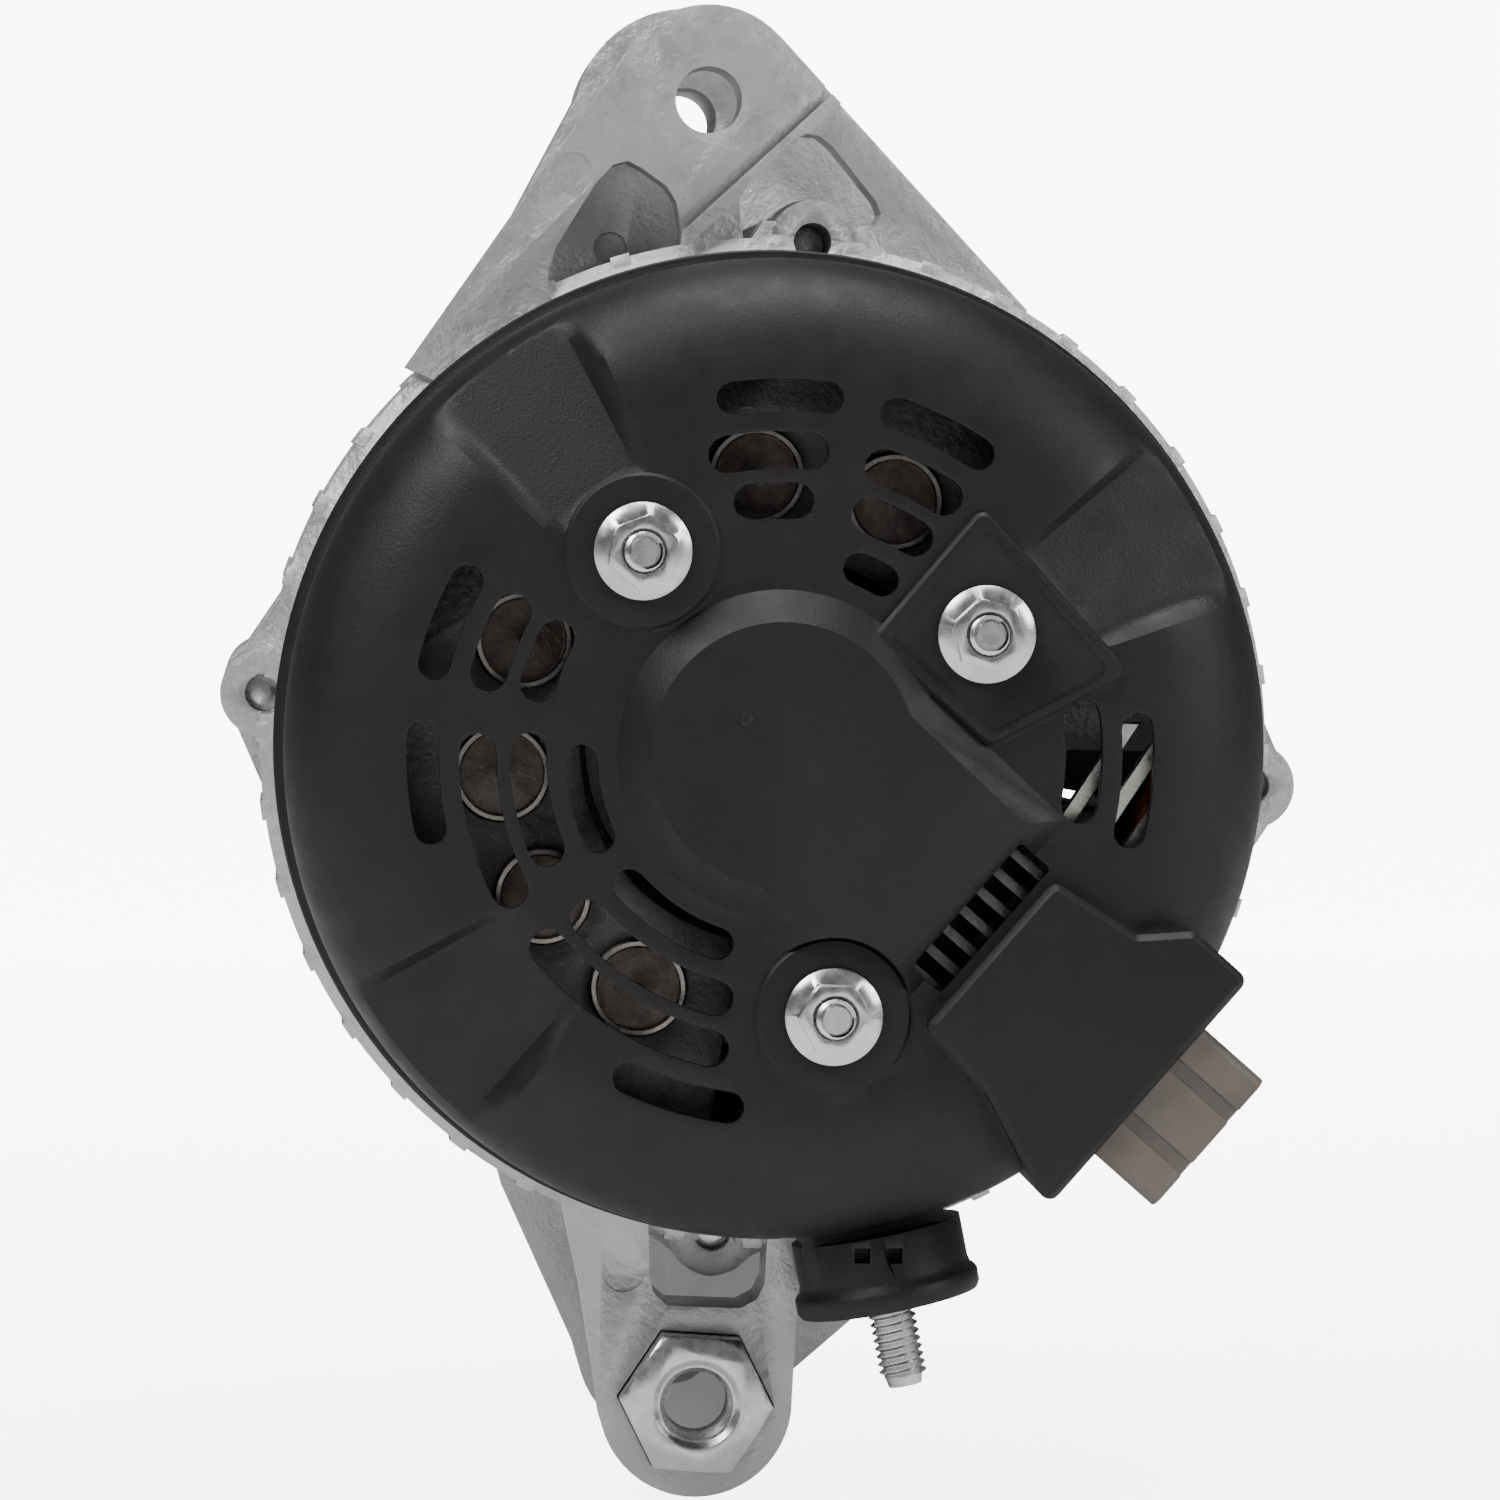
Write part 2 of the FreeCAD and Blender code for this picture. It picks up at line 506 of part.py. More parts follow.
def at_studs(name, maker):
    """One of a piece at every cover stud, as separate solids of one node."""
    members = [maker(f"{name}_{index + 1}", x, z) for index, (x, z) in enumerate(COVER_STUDS)]
    return keep(name, grouped(name, members))


def cover_stud(name, x, z):
    """A threaded stud with a dog point."""
    return fused(name, [rod(name + "_thread", "stud_radius", "cover_face - 5.5", 38, x, z),
                        rod(name + "_point", 1.65, "cover_face - 6.6", 2, x, z)])


def flange_nut(name, x, z):
    """A hexagon nut with a round flange."""
    blank = fused(name + "_blank", [
        rod(name + "_flange", "nut_flange", "cover_face - 2", 1.2, x, z),
        hexagon(name + "_hex", "nut_flats", "cover_face - 5", 3.5, x, z)])
    return cut(name, blank, rod(name + "_bore", "stud_radius", "cover_face - 9", 12, x, z))


def cover_bush(name, x, z):
    """A steel bush that clamps the cover."""
    flange = rod(name + "_flange", "washer_radius", "cover_face - 0.8", 0.8, x, z)
    sleeve = rod(name + "_sleeve", 3.6, "cover_face - 0.4", "cover_wall + 1", x, z)
    return cut(name, fused(name + "_blank", [flange, sleeve]),
               rod(name + "_bore", "stud_radius", "cover_face - 2", 6, x, z))


at_studs("cover_studs", cover_stud)
at_studs("cover_nuts", flange_nut)
at_studs("cover_bushes", cover_bush)

# --- bearing retainer -------------------------------------------------------------------------
retainer_blank = ring("retainer_blank", 13.5, 26, -39.2, "front_bearing_back - 1")
screw_x, screw_z = polar(23.3, 45)
screw_hole = rod("retainer_hole_first", 1.6, -45, 20, screw_x, screw_z)
keep("bearing_retainer", cut("bearing_retainer", retainer_blank,
                             copies("retainer_holes", screw_hole, CASE_BOLTS)))

# --- rectifier --------------------------------------------------------------------------------
stud_clearance = fused("stud_clearance", [
    rod(f"stud_clearance_{index + 1}", 4, -142, 30, x, z)
    for index, (x, z) in enumerate(COVER_STUDS)])
diode_holes = []
diodes = []
for index, angle in enumerate(POSITIVE_DIODES):
    x, z = polar(size("diode_circle"), angle)
    diode_holes.append(rod(f"diode_hole_{index + 1}", "diode_radius", -140, 20, x, z))
    diodes.append(rod(f"positive_diode_{index + 1}", "diode_radius", -135, 7, x, z))
keep("positive_diodes", grouped("positive_diodes", diodes))
rectifier_turn = size("rectifier_start")
rectifier_angle = size("rectifier_sweep")
positive_blank = ring("positive_blank", 24, 50, -133, -130, rectifier_angle, rectifier_turn)
keep("positive_heat_sink", cut("positive_heat_sink", positive_blank, fused(
    "positive_holes", diode_holes + [stud_clearance])))
negative_blank = ring("negative_blank", 23, 57, -120, -117, rectifier_angle, rectifier_turn)
negative_holes = []
negative_diodes = []
for index in range(6):
    x, z = polar(46, 64 + 36 * index)
    negative_holes.append(rod(f"negative_hole_{index + 1}", "diode_radius", -122, 8, x, z))
    negative_diodes.append(rod(f"negative_diode_{index + 1}", "diode_radius", -125, 7.9, x, z))
keep("negative_diodes", grouped("negative_diodes", negative_diodes))
keep("negative_heat_sink", cut("negative_heat_sink", negative_blank, fused(
    "negative_cut", negative_holes + [stud_clearance])))
keep("rectifier_insulator", cut("rectifier_insulator", ring(
    "insulator_blank", 25, 27.5, -130, -120, rectifier_angle, rectifier_turn), stud_clearance))

# --- regulator, brushes and plug --------------------------------------------------------------
holder_block = radial_box("holder_block", 8.2, 20.3, -7, 14, -142, 18.5)
channels = [radial_box(f"{end}_channel", 7, 20, "-brush_width / 2 - brush_play",
                       "brush_width + 2 * brush_play", f"{end}_brush_y - brush_depth / 2 - brush_play",
                       "brush_depth + 2 * brush_play") for end in ("front", "rear")]
outward_x, outward_z = polar(1, size("regulator_angle"))
outwards = FreeCAD.Rotation(Vector(0, 0, 1), Vector(outward_x, 0, outward_z))
slip_clearance = rod("slip_clearance", "slip_ring_radius + 0.8", -145, 25)
keep("brush_holder", cut("brush_holder", holder_block, fused("holder_tools", channels + [slip_clearance])))
for end in ("front", "rear"):
    blank = radial_box(f"{end}_brush_blank", 6.8, "brush_length", "-brush_width / 2", "brush_width",
                       f"{end}_brush_y - brush_depth / 2", "brush_depth")
    seat = rod(f"{end}_brush_seat", "slip_ring_radius + 0.05", -145, 25)
    keep(f"{end}_brush", cut(f"{end}_brush", blank, seat))
    wall = []
    for role, radius in (("outside", 1.9), ("inside", 1.3)):
        cylinder = doc.addObject("Part::Cylinder", f"{end}_spring_{role}")
        cylinder.Radius, cylinder.Height = radius, 9.9
        x, z = polar(16.95, size("regulator_angle"))
        cylinder.Placement = FreeCAD.Placement(Vector(x, size(f"{end}_brush_y"), z), outwards)
        wall.append(cylinder)
    keep(f"{end}_brush_spring", cut(f"{end}_brush_spring", wall[0], wall[1]))

keep("regulator", radial_box("regulator", "block_start + 1", 17, -12, 21, -143, 18))
fin_base = radial_box("fin_base", 29, 5.5, -9.5, 20, -131, 4)
fins = [radial_box(f"fin_{index + 1}", 29, 5.5, -9.5 + index * 3.13, 1.2, -143, 12.5) for index in range(7)]
keep("regulator_fins", fused("regulator_fins", [fin_base] + fins))
plug_block = radial_box("plug_block", 54, "plug_end - 54", -11.3, 20.5, -148, 13.6)
plug_mouth = radial_box("plug_mouth", 57, 20, -9.4, 16.7, -146.4, 10.4)
keep("plug_socket", cut("plug_socket", plug_block, plug_mouth))
pins = [radial_box(f"plug_pin_{index + 1}", 53, 14.5, -7.1 + index * 4.1, 1.9, -141.6, 0.8)
        for index in range(4)]
keep("plug_pins", grouped("plug_pins", pins))

# --- rear cover -------------------------------------------------------------------------------
cover_shell = turned("cover_shell", [
    (0, "cover_face"), (45, "cover_face"), (52, "cover_face + 1.5"), (57, "cover_face + 5"),
    (59.6, "cover_face + 10"), (60.8, "cover_rim - 3"), ("cover_radius", "cover_rim - 3"),
    ("cover_radius", "cover_rim"), (59.4, "cover_rim"), (57.3, "cover_face + 10.5"),
    (54.8, "cover_face + 7"), (51, "cover_face + 4"), (45, "cover_face + cover_wall"),
    (0, "cover_face + cover_wall")])
SLOT_RINGS = [(22.5, 26.5), (28.7, 33.2), (34.8, 39.4), (41.8, 45.8)]
SLOTS = [
    (3, 80, 100.5), (2, 81, 104), (1, 82.6, 101),
    (3, 54, 74), (2, 54, 74), (1, 54, 74), (0, 55, 72),
    (3, 148.5, 168), (2, 148.5, 168), (1, 148.5, 168),
    (3, 174.5, 194.5), (2, 176, 210), (1, 175, 206), (0, 177, 209),
    (3, 242, 264), (2, 216, 260), (1, 216, 259), (0, 216, 256),
    (2, -13.5, 10.5), (3, -15.5, 6.5)]
slots = []
for index, (row, start, stop) in enumerate(SLOTS):
    inner, outer = SLOT_RINGS[row]
    slots.append(ring(f"vent_slot_{index + 1}", inner, outer, -150, -140, stop - start, start))
slotted = cut("slotted_cover", cover_shell, fused("vent_slots", slots))
boss = ring("centre_boss", 0, 20.1, "cover_face - boss_height", "cover_face + 0.5")
boss_arm = radial_box("boss_arm", 0, 28.6, -17, 34, "cover_face - boss_height", "boss_height + 0.5")
block_outline = []
angle = size("regulator_angle")
for out, across in ((35, -13.5), (35, 10.4), (48, 12.5), (61, 17.2), (61, -20), (46, -14)):
    x, z = polar(out, angle)
    dx, dz = polar(across, angle + 90)
    block_outline.append((round(x + dx, 2), round(z + dz, 2)))
block = padded("regulator_block", "cover_face - block_height", "block_height + 27.5", [block_outline])
nut_pad = radial_box("nut_pad", -2, 26, 17, 21, "cover_face - 0.9", 1.4)
cover_solid = fused("cover_solid", [slotted, boss, boss_arm, block, nut_pad])
cover_tools = [
    ring("boss_hollow", 0, 17.6, "cover_face - boss_height + cover_wall", "cover_face + 5"),
    radial_box("arm_hollow", 0, 29, -10, 20, "cover_face - boss_height + cover_wall", 5),
    radial_box("fin_window", 29, 5, -9, 20.3, "cover_face - 5", 10),
    radial_box("block_hollow", 34, 24.5, -13, 23, "cover_face + 1", 28),
    radial_box("plug_way", 53.5, 25, -11.4, 20.7, "cover_face - 2.1", 13.8),
    ring("nut_seat_bottom", 0, 9.5, -155, "cover_face"),
    ring("terminal_notch", 55, 66, -135.5, -110, 24, -89.5)]
cover_tools[-2].Placement = FreeCAD.Placement(Vector(6.3, 0, -32.1), FreeCAD.Rotation())
for index, (x, z) in enumerate(COVER_STUDS):
    cover_tools.append(rod(f"cover_hole_{index + 1}", 3.6, -155, 20, x, z))
    cover_tools.append(rod(f"bush_seat_{index + 1}", "washer_radius + 0.3", -155, "cover_face + 155", x, z))
keep("rear_cover", cut("rear_cover", cover_solid, fused("cover_cut", cover_tools)))

# --- output terminal --------------------------------------------------------------------------
tilt = math.radians(size("terminal_tilt"))
terminal_axis = Vector(math.sin(tilt), 0, -math.cos(tilt))


def on_terminal(name, radius, start, length):
    """A cylinder on the output terminal's own axis, measured out from the collar's root."""
    cylinder = doc.addObject("Part::Cylinder", name)
    cylinder.setExpression("Radius", bound(radius))
    cylinder.Height = length
    root = Vector(size("terminal_x"), size("terminal_y"), size("terminal_z"))
    turn = FreeCAD.Rotation(Vector(0, 0, 1), terminal_axis)
    cylinder.Placement = FreeCAD.Placement(root + terminal_axis * start, turn)
    return cylinder


collar_root = doc.addObject("Part::Box", "collar_root")
collar_root.Length, collar_root.Width, collar_root.Height = 17.5, 14, 9
collar_root.Placement.Base = Vector(3.5, -134, -64.3)
collar_solid = fused("collar_solid", [
    collar_root, on_terminal("collar_body", 10.8, 5, 7), on_terminal("collar_lip", 11.6, 11.8, 2.6)])
keep("terminal_insulator", cut("terminal_insulator", collar_solid,
                               on_terminal("collar_bore", "terminal_radius - 0.5", -5, 30)))
keep("terminal_stud", fused("terminal_stud", [
    on_terminal("terminal_root", "terminal_radius - 0.5", 0.5, 15.4),
    on_terminal("terminal_thread", "terminal_radius", 14.7, 9),
    on_terminal("terminal_point", 2.2, 16, 9.2)]))
busbar = doc.addObject("Part::Box", "output_busbar")
busbar.Length, busbar.Width, busbar.Height = 8, 2, 17.1
busbar.Placement.Base = Vector(7, -128, -55.1)
keep("output_busbar", busbar)

# --- checks and files -------------------------------------------------------------------------
doc.recompute()
for item in doc.Objects:
    if "Invalid" in item.State or "Error" in item.State:
        raise RuntimeError(f"{item.Name} did not build: {item.State}")
os.makedirs("parts", exist_ok=True)
for name, piece in pieces.items():
    shape = piece.Shape
    if shape.isNull() or not shape.isValid() or not shape.Solids:
        raise RuntimeError(f"{name} has no sound solid")
    shape.exportStep(f"parts/{name}.step")
    print(f"{name}: {len(shape.Solids)} solid(s), {shape.Volume / 1000:.2f} cm3")
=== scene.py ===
"""Car alternator: the visible pieces, their finishes and the studio, laid out as an add-on."""
import math
import json

import bpy
from mathutils import Matrix, Vector


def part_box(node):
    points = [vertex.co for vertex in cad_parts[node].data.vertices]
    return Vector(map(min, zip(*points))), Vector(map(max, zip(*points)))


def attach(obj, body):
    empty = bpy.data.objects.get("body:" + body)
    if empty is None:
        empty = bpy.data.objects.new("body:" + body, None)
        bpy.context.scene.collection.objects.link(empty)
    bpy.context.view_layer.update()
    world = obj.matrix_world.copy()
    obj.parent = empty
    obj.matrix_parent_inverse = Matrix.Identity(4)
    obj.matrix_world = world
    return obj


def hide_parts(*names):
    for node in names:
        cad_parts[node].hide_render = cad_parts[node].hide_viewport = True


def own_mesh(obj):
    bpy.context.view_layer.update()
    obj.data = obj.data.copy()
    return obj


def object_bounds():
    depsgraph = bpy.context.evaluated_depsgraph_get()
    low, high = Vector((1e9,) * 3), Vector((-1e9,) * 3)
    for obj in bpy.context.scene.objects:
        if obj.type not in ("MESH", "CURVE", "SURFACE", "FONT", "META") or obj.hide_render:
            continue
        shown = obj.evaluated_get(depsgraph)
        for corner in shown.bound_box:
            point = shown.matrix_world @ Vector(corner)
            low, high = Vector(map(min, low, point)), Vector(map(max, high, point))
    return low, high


bl_info = {
    "name": "Car Alternator",
    "version": (1, 0, 0),
    "blender": (4, 5, 0),
    "location": "View3D > Sidebar > Alternator",
    "description": "Builds the visible pieces of a belt-driven car alternator round its frame",
    "category": "Object",
}

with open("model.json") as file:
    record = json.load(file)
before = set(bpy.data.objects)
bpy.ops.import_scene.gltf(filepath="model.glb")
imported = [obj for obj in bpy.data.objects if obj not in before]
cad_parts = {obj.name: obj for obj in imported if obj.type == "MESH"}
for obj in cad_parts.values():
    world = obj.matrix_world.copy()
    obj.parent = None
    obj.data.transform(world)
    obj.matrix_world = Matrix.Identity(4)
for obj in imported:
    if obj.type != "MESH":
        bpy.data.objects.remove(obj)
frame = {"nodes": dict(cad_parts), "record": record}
CAD_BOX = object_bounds()
MM = 0.001
# Sizes and places in millimetres, angles in degrees from +X towards +Z.
NUT_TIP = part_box("cover_nuts")[0][1] / MM
CORE_LOW, CORE_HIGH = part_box("stator_core")
BUSH_FLANGE = 0.8
NUT_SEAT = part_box("cover_bushes")[0][1] / MM
FACE = NUT_SEAT + BUSH_FLANGE
COVER_RADIUS, RIM, _ = [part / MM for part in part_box("rear_cover")[1]]
EAR_BACK = -114.0
REGULATOR_ANGLE = -41.6
COVER_STUDS = [(-17.0, 24.8), (25.0, 14.6), (6.3, -32.1)]
STUD_TURNS = (8.0, 31.0, -14.0)
STUD_RADIUS = 2.45
STUD_LENGTH = 38.0
NUT_FLATS = 8.0
NUT_FLANGE = 6.0
BUSH_RADIUS = 5.8
EJECTOR_MARKS = [(-24.4, 71.8), (-18.0, -66.8)]
POCKET_HOLE = (-19.2, 62.6)
LOWER_BOLT = (-8.9, -83.4)
PIVOT_NUT_FLATS = 17.0
PIVOT_PITCH = 1.5
TERMINAL_ROOT = (12.0, -127.0, -55.3)
TERMINAL_TILT = 11
TERMINAL_LENGTH = 23.6
PLUG_PINS = 4
PIN_PITCH = 4.1
DIODE_CIRCLES = {
    "positive_diodes": (34.0, (64.4, 94, 156.3, 184.7, 212, 239.9)),
    "negative_diodes": (46.0, (64, 100, 136, 172, 208, 244))}
PHASE_BARS = 3
HAIRPINS = 48
CORE_WELDS = 8
COIL_LENGTH = 9.9
COIL_TURNS = 8
COIL_RADIUS = 1.6
WIRE_RADIUS = 0.27


# --- modelling helpers --------------------------------------------------------------------------
def clear_selection():
    """Leave nothing selected and no edit mode open."""
    if bpy.context.object and bpy.context.object.mode != "OBJECT":
        bpy.ops.object.mode_set(mode="OBJECT")
    bpy.ops.object.select_all(action="DESELECT")


def pick(piece):
    """Make one piece the selected and active one."""
    clear_selection()
    piece.select_set(True)
    bpy.context.view_layer.objects.active = piece


def edit_all():
    """Open edit mode with everything selected."""
    bpy.ops.object.mode_set(mode="EDIT")
    bpy.ops.mesh.select_all(action="SELECT")


def polar(radius, angle):
    """X and Z at a radius and an angle about the shaft."""
    return radius * math.cos(math.radians(angle)), radius * math.sin(math.radians(angle))


def arc(radius, start, stop, count, centre=(0.0, 0.0)):
    """Points along an arc in the XZ plane, ends included."""
    points = []
    for index in range(count):
        x, z = polar(radius, start + (stop - start) * index / (count - 1))
        points.append((centre[0] + x, centre[1] + z))
    return points


def outward(out, across):
    """X and Z of a point given along and across the regulator's direction."""
    x, z = polar(out, REGULATOR_ANGLE)
    dx, dz = polar(across, REGULATOR_ANGLE + 90)
    return x + dx, z + dz


def start_loop(name, corners, filled):
    """A closed loop through the corners, left open in edit mode."""
    clear_selection()
    fill = "NGON" if filled else "NOTHING"
    bpy.ops.mesh.primitive_circle_add(vertices=len(corners), radius=1.0, fill_type=fill)
    piece = bpy.context.object
    piece.name = name
    piece.data.name = name
    for vertex, corner in zip(piece.data.vertices, corners):
        vertex.co = [MM * part for part in corner]
    edit_all()
    return piece


def close_up(piece, gap=0.002):
    """Merge doubles, point the faces outwards and leave edit mode."""
    bpy.ops.mesh.select_all(action="SELECT")
    bpy.ops.mesh.remove_doubles(threshold=gap * MM)
    bpy.ops.mesh.delete_loose(use_faces=False)
    bpy.ops.mesh.select_all(action="SELECT")
    bpy.ops.mesh.normals_make_consistent(inside=False)
    bpy.ops.object.mode_set(mode="OBJECT")
    return piece


def lathe(name, profile, steps=96):
    """A closed profile of (radius, station) spun about the shaft."""
    piece = start_loop(name, [(radius, station, 0.0) for radius, station in profile], False)
    bpy.ops.mesh.spin(steps=steps, angle=math.tau, center=(0, 0, 0), axis=(0, -1, 0))
    return close_up(piece)


def prism(name, outline, back, front):
    """An outline of (X, Z) points drawn out between two stations."""
    piece = start_loop(name, [(x, back, z) for x, z in outline], True)
    bpy.ops.mesh.extrude_region_move(TRANSFORM_OT_translate={"value": (0, (front - back) * MM, 0)})
    return close_up(piece)


def raised(name, outline, foot, shoulder, inset, top):
    """An outline pulled up from its foot to a shoulder and then in to a smaller flat top."""
    piece = start_loop(name, [(x, foot, z) for x, z in outline], True)
    bpy.ops.mesh.extrude_region_move(TRANSFORM_OT_translate={"value": (0, (shoulder - foot) * MM, 0)})
    bpy.ops.mesh.extrude_region_move(TRANSFORM_OT_translate={"value": (0, 0, 0)})
    bpy.ops.mesh.normals_make_consistent(inside=False)
    scale_in(piece, outline, shoulder, inset, top)
    return close_up(piece)


def scale_in(piece, outline, shoulder, inset, top):
    """Move the last drawn face's corners in along the outline's own inner offset."""
    bpy.ops.object.mode_set(mode="OBJECT")
    chosen = [vertex for vertex in piece.data.vertices if vertex.select]
    inner = offset_inwards(outline, inset)
    for vertex in chosen:
        here = (vertex.co.x / MM, vertex.co.z / MM)
        nearest = min(range(len(outline)), key=lambda i: math.dist(outline[i], here))
        vertex.co = (inner[nearest][0] * MM, top * MM, inner[nearest][1] * MM)
    bpy.ops.object.mode_set(mode="EDIT")


def offset_inwards(outline, inset):
    """The outline moved in by a distance, corner by corner."""
    area = sum(a[0] * b[1] - b[0] * a[1] for a, b in zip(outline, outline[1:] + outline[:1]))
    side = 1.0 if area > 0 else -1.0
    moved = []
    for index, here in enumerate(outline):
        before = Vector(here) - Vector(outline[index - 1])
        after = Vector(outline[(index + 1) % len(outline)]) - Vector(here)
        first = Vector((-before.y, before.x)).normalized() * side
        second = Vector((-after.y, after.x)).normalized() * side
        middle = (first + second).normalized()
        stretch = 1.0 / max(0.35, middle.dot(first))
        moved.append(tuple(Vector(here) + middle * inset * stretch))
    return moved


def rounded(corners, radius, steps=5):
    """An outline whose corners are turned into arcs."""
    points = []
    count = len(corners)
    for index, corner in enumerate(corners):
        here = Vector(corner)
        before = Vector(corners[index - 1]) - here
        after = Vector(corners[(index + 1) % count]) - here
        half = before.angle(after) / 2
        reach = min(radius / math.tan(half), before.length * 0.45, after.length * 0.45)
        bend = reach * math.tan(half)
        centre = here + (before.normalized() + after.normalized()).normalized() * bend / math.sin(half)
        first = here + before.normalized() * reach - centre
        last = here + after.normalized() * reach - centre
        turn = first.angle_signed(last)
        for step in range(steps + 1):
            spoke = first.copy()
            spoke.rotate(Matrix.Rotation(-turn * step / steps, 2))
            points.append(tuple(centre + spoke))
    return points


def slot_outline(inner, outer, start, stop, steps=12):
    """An arc-shaped slot with round ends."""
    middle, half = (inner + outer) / 2, (outer - inner) / 2
    swing = math.degrees(half / middle)
    far, near = polar(middle, stop - swing), polar(middle, start + swing)
    points = arc(outer, start + swing, stop - swing, steps)
    points += arc(half, stop - swing, stop - swing + 180, 7, far)[1:-1]
    points += arc(inner, stop - swing, start + swing, steps)
    points += arc(half, start + swing + 180, start + swing + 360, 7, near)[1:-1]
    return points


def combine(piece, tools, operation):
    """Join the tools to the piece, or cut them out of it, and remove them."""
    for tool in tools:
        pick(piece)
        change = piece.modifiers.new("shape", "BOOLEAN")
        change.operation = operation
        change.solver = "EXACT"
        change.object = tool
        bpy.ops.object.modifier_apply(modifier=change.name)
        bpy.data.objects.remove(tool, do_unlink=True)
    return piece


def gather(name, pieces):
    """Put several loose pieces into one mesh."""
    clear_selection()
    for piece in pieces:
        piece.select_set(True)
    bpy.context.view_layer.objects.active = pieces[0]
    bpy.ops.object.join()
    pieces[0].name = name
    pieces[0].data.name = name
    return pieces[0]


def soften(piece, width, segments=2, limit=35.0):
    """Round every sharp edge with an applied bevel."""
    pick(piece)
    edge = piece.modifiers.new("edges", "BEVEL")
    edge.width = width * MM
    edge.segments = segments
    edge.limit_method = "ANGLE"
    edge.angle_limit = math.radians(limit)
    bpy.ops.object.modifier_apply(modifier=edge.name)
    return piece


def settle(piece, slot, *nodes, body="housing", finish=None, smooth=35.0):
    """Shade a finished piece, give it its finish and seat it on its body."""
    pick(piece)
    bpy.ops.object.shade_smooth_by_angle(angle=math.radians(smooth))
    piece.data.materials.clear()
    piece.data.materials.append(MATERIALS[finish or slot])
    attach(piece, body)
    if nodes:
        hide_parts(*nodes)
    return piece


def twin(piece, name, move):
    """A copy with a mesh of its own, moved by a matrix."""
    copy = piece.copy()
    copy.data = piece.data.copy()
    copy.name = name
    copy.data.name = name
    copy.data.transform(move)
    bpy.context.scene.collection.objects.link(copy)
    return copy


def rotated(angle, axis):
    """A turn in degrees about an axis through the origin."""
    return Matrix.Rotation(math.radians(angle), 4, axis)


def about_shaft(angle):
    """Turn about the shaft from +X towards +Z."""
    return rotated(-angle, "Y")


def shifted(x, y, z):
    """A move in millimetres."""
    return Matrix.Translation((x * MM, y * MM, z * MM))


def merged_copy(node, name):
    """A clean copy of a frame node, with its doubles merged and its flats dissolved."""
    piece = twin(frame["nodes"][node], name, Matrix.Identity(4))
    for key in list(piece.keys()):
        del piece[key]
    piece.parent = None
    pick(piece)
    edit_all()
    bpy.ops.mesh.remove_doubles(threshold=0.003 * MM)
    bpy.ops.mesh.dissolve_limited(angle_limit=math.radians(0.6))
    bpy.ops.object.mode_set(mode="OBJECT")
    return piece


def threaded_rod(name, radius, pitch, length, point_radius, point_length, steps=20):
    """A screw thread along +Z from the origin, with flat ends and a dog point."""
    depth = pitch * 0.6
    clear_selection()
    bpy.ops.mesh.primitive_plane_add(size=1.0)
    piece = bpy.context.object
    piece.name = name
    edit_all()
    bpy.ops.mesh.merge(type="CENTER")
    bpy.ops.transform.translate(value=((radius - depth) * MM, 0, -pitch * MM))
    ridge = [(depth, 0.4), (0.0, 0.12), (-depth, 0.4), (0.0, 0.08)]
    for sideways, rise in ridge:
        bpy.ops.mesh.extrude_region_move(
            TRANSFORM_OT_translate={"value": (sideways * MM, 0, rise * pitch * MM)})
    bpy.ops.object.mode_set(mode="OBJECT")
    screw = piece.modifiers.new("thread", "SCREW")
    screw.axis = "Z"
    screw.steps = steps
    screw.render_steps = steps
    screw.screw_offset = pitch * MM
    screw.iterations = int(length / pitch) + 3
    screw.use_merge_vertices = True
    screw.merge_threshold = 0.0005 * MM
    bpy.ops.object.modifier_apply(modifier=screw.name)
    bpy.ops.object.mode_set(mode="EDIT")
    for height, way in ((0.0, -1), (length, 1)):
        bpy.ops.mesh.select_all(action="SELECT")
        bpy.ops.mesh.bisect(plane_co=(0, 0, height * MM), plane_no=(0, 0, way),
                            use_fill=True, clear_outer=True)
    close_up(piece)
    clear_selection()
    bpy.ops.mesh.primitive_cone_add(vertices=24, radius1=(point_radius + 0.35) * MM,
                                    radius2=point_radius * MM, depth=point_length * MM,
                                    location=(0, 0, (length + point_length / 2 - 0.1) * MM))
    point = bpy.context.object
    bpy.ops.object.transform_apply(location=True, rotation=True, scale=True)
    return gather(name, [piece, point])


def hexagon(name, flats, back, front, chamfer, turn=0.0):
    """A hexagonal blank on the shaft's line with turned chamfers on both faces."""
    corner = flats / math.sqrt(3)
    blank = prism(name, arc(corner, turn, turn + 300, 6), back, front)
    disc = lathe(name + "_disc", [
        (0, back - 0.01), (corner - chamfer, back - 0.01), (corner + 0.2, back + chamfer * 0.6),
        (corner + 0.2, front - chamfer * 0.6), (corner - chamfer, front + 0.01),
        (0, front + 0.01)], 48)
    return combine(blank, [disc], "INTERSECT")


# --- finishes -----------------------------------------------------------------------------------
EVEN = (1.0, 1.0, 1.0)
MATERIALS = {}


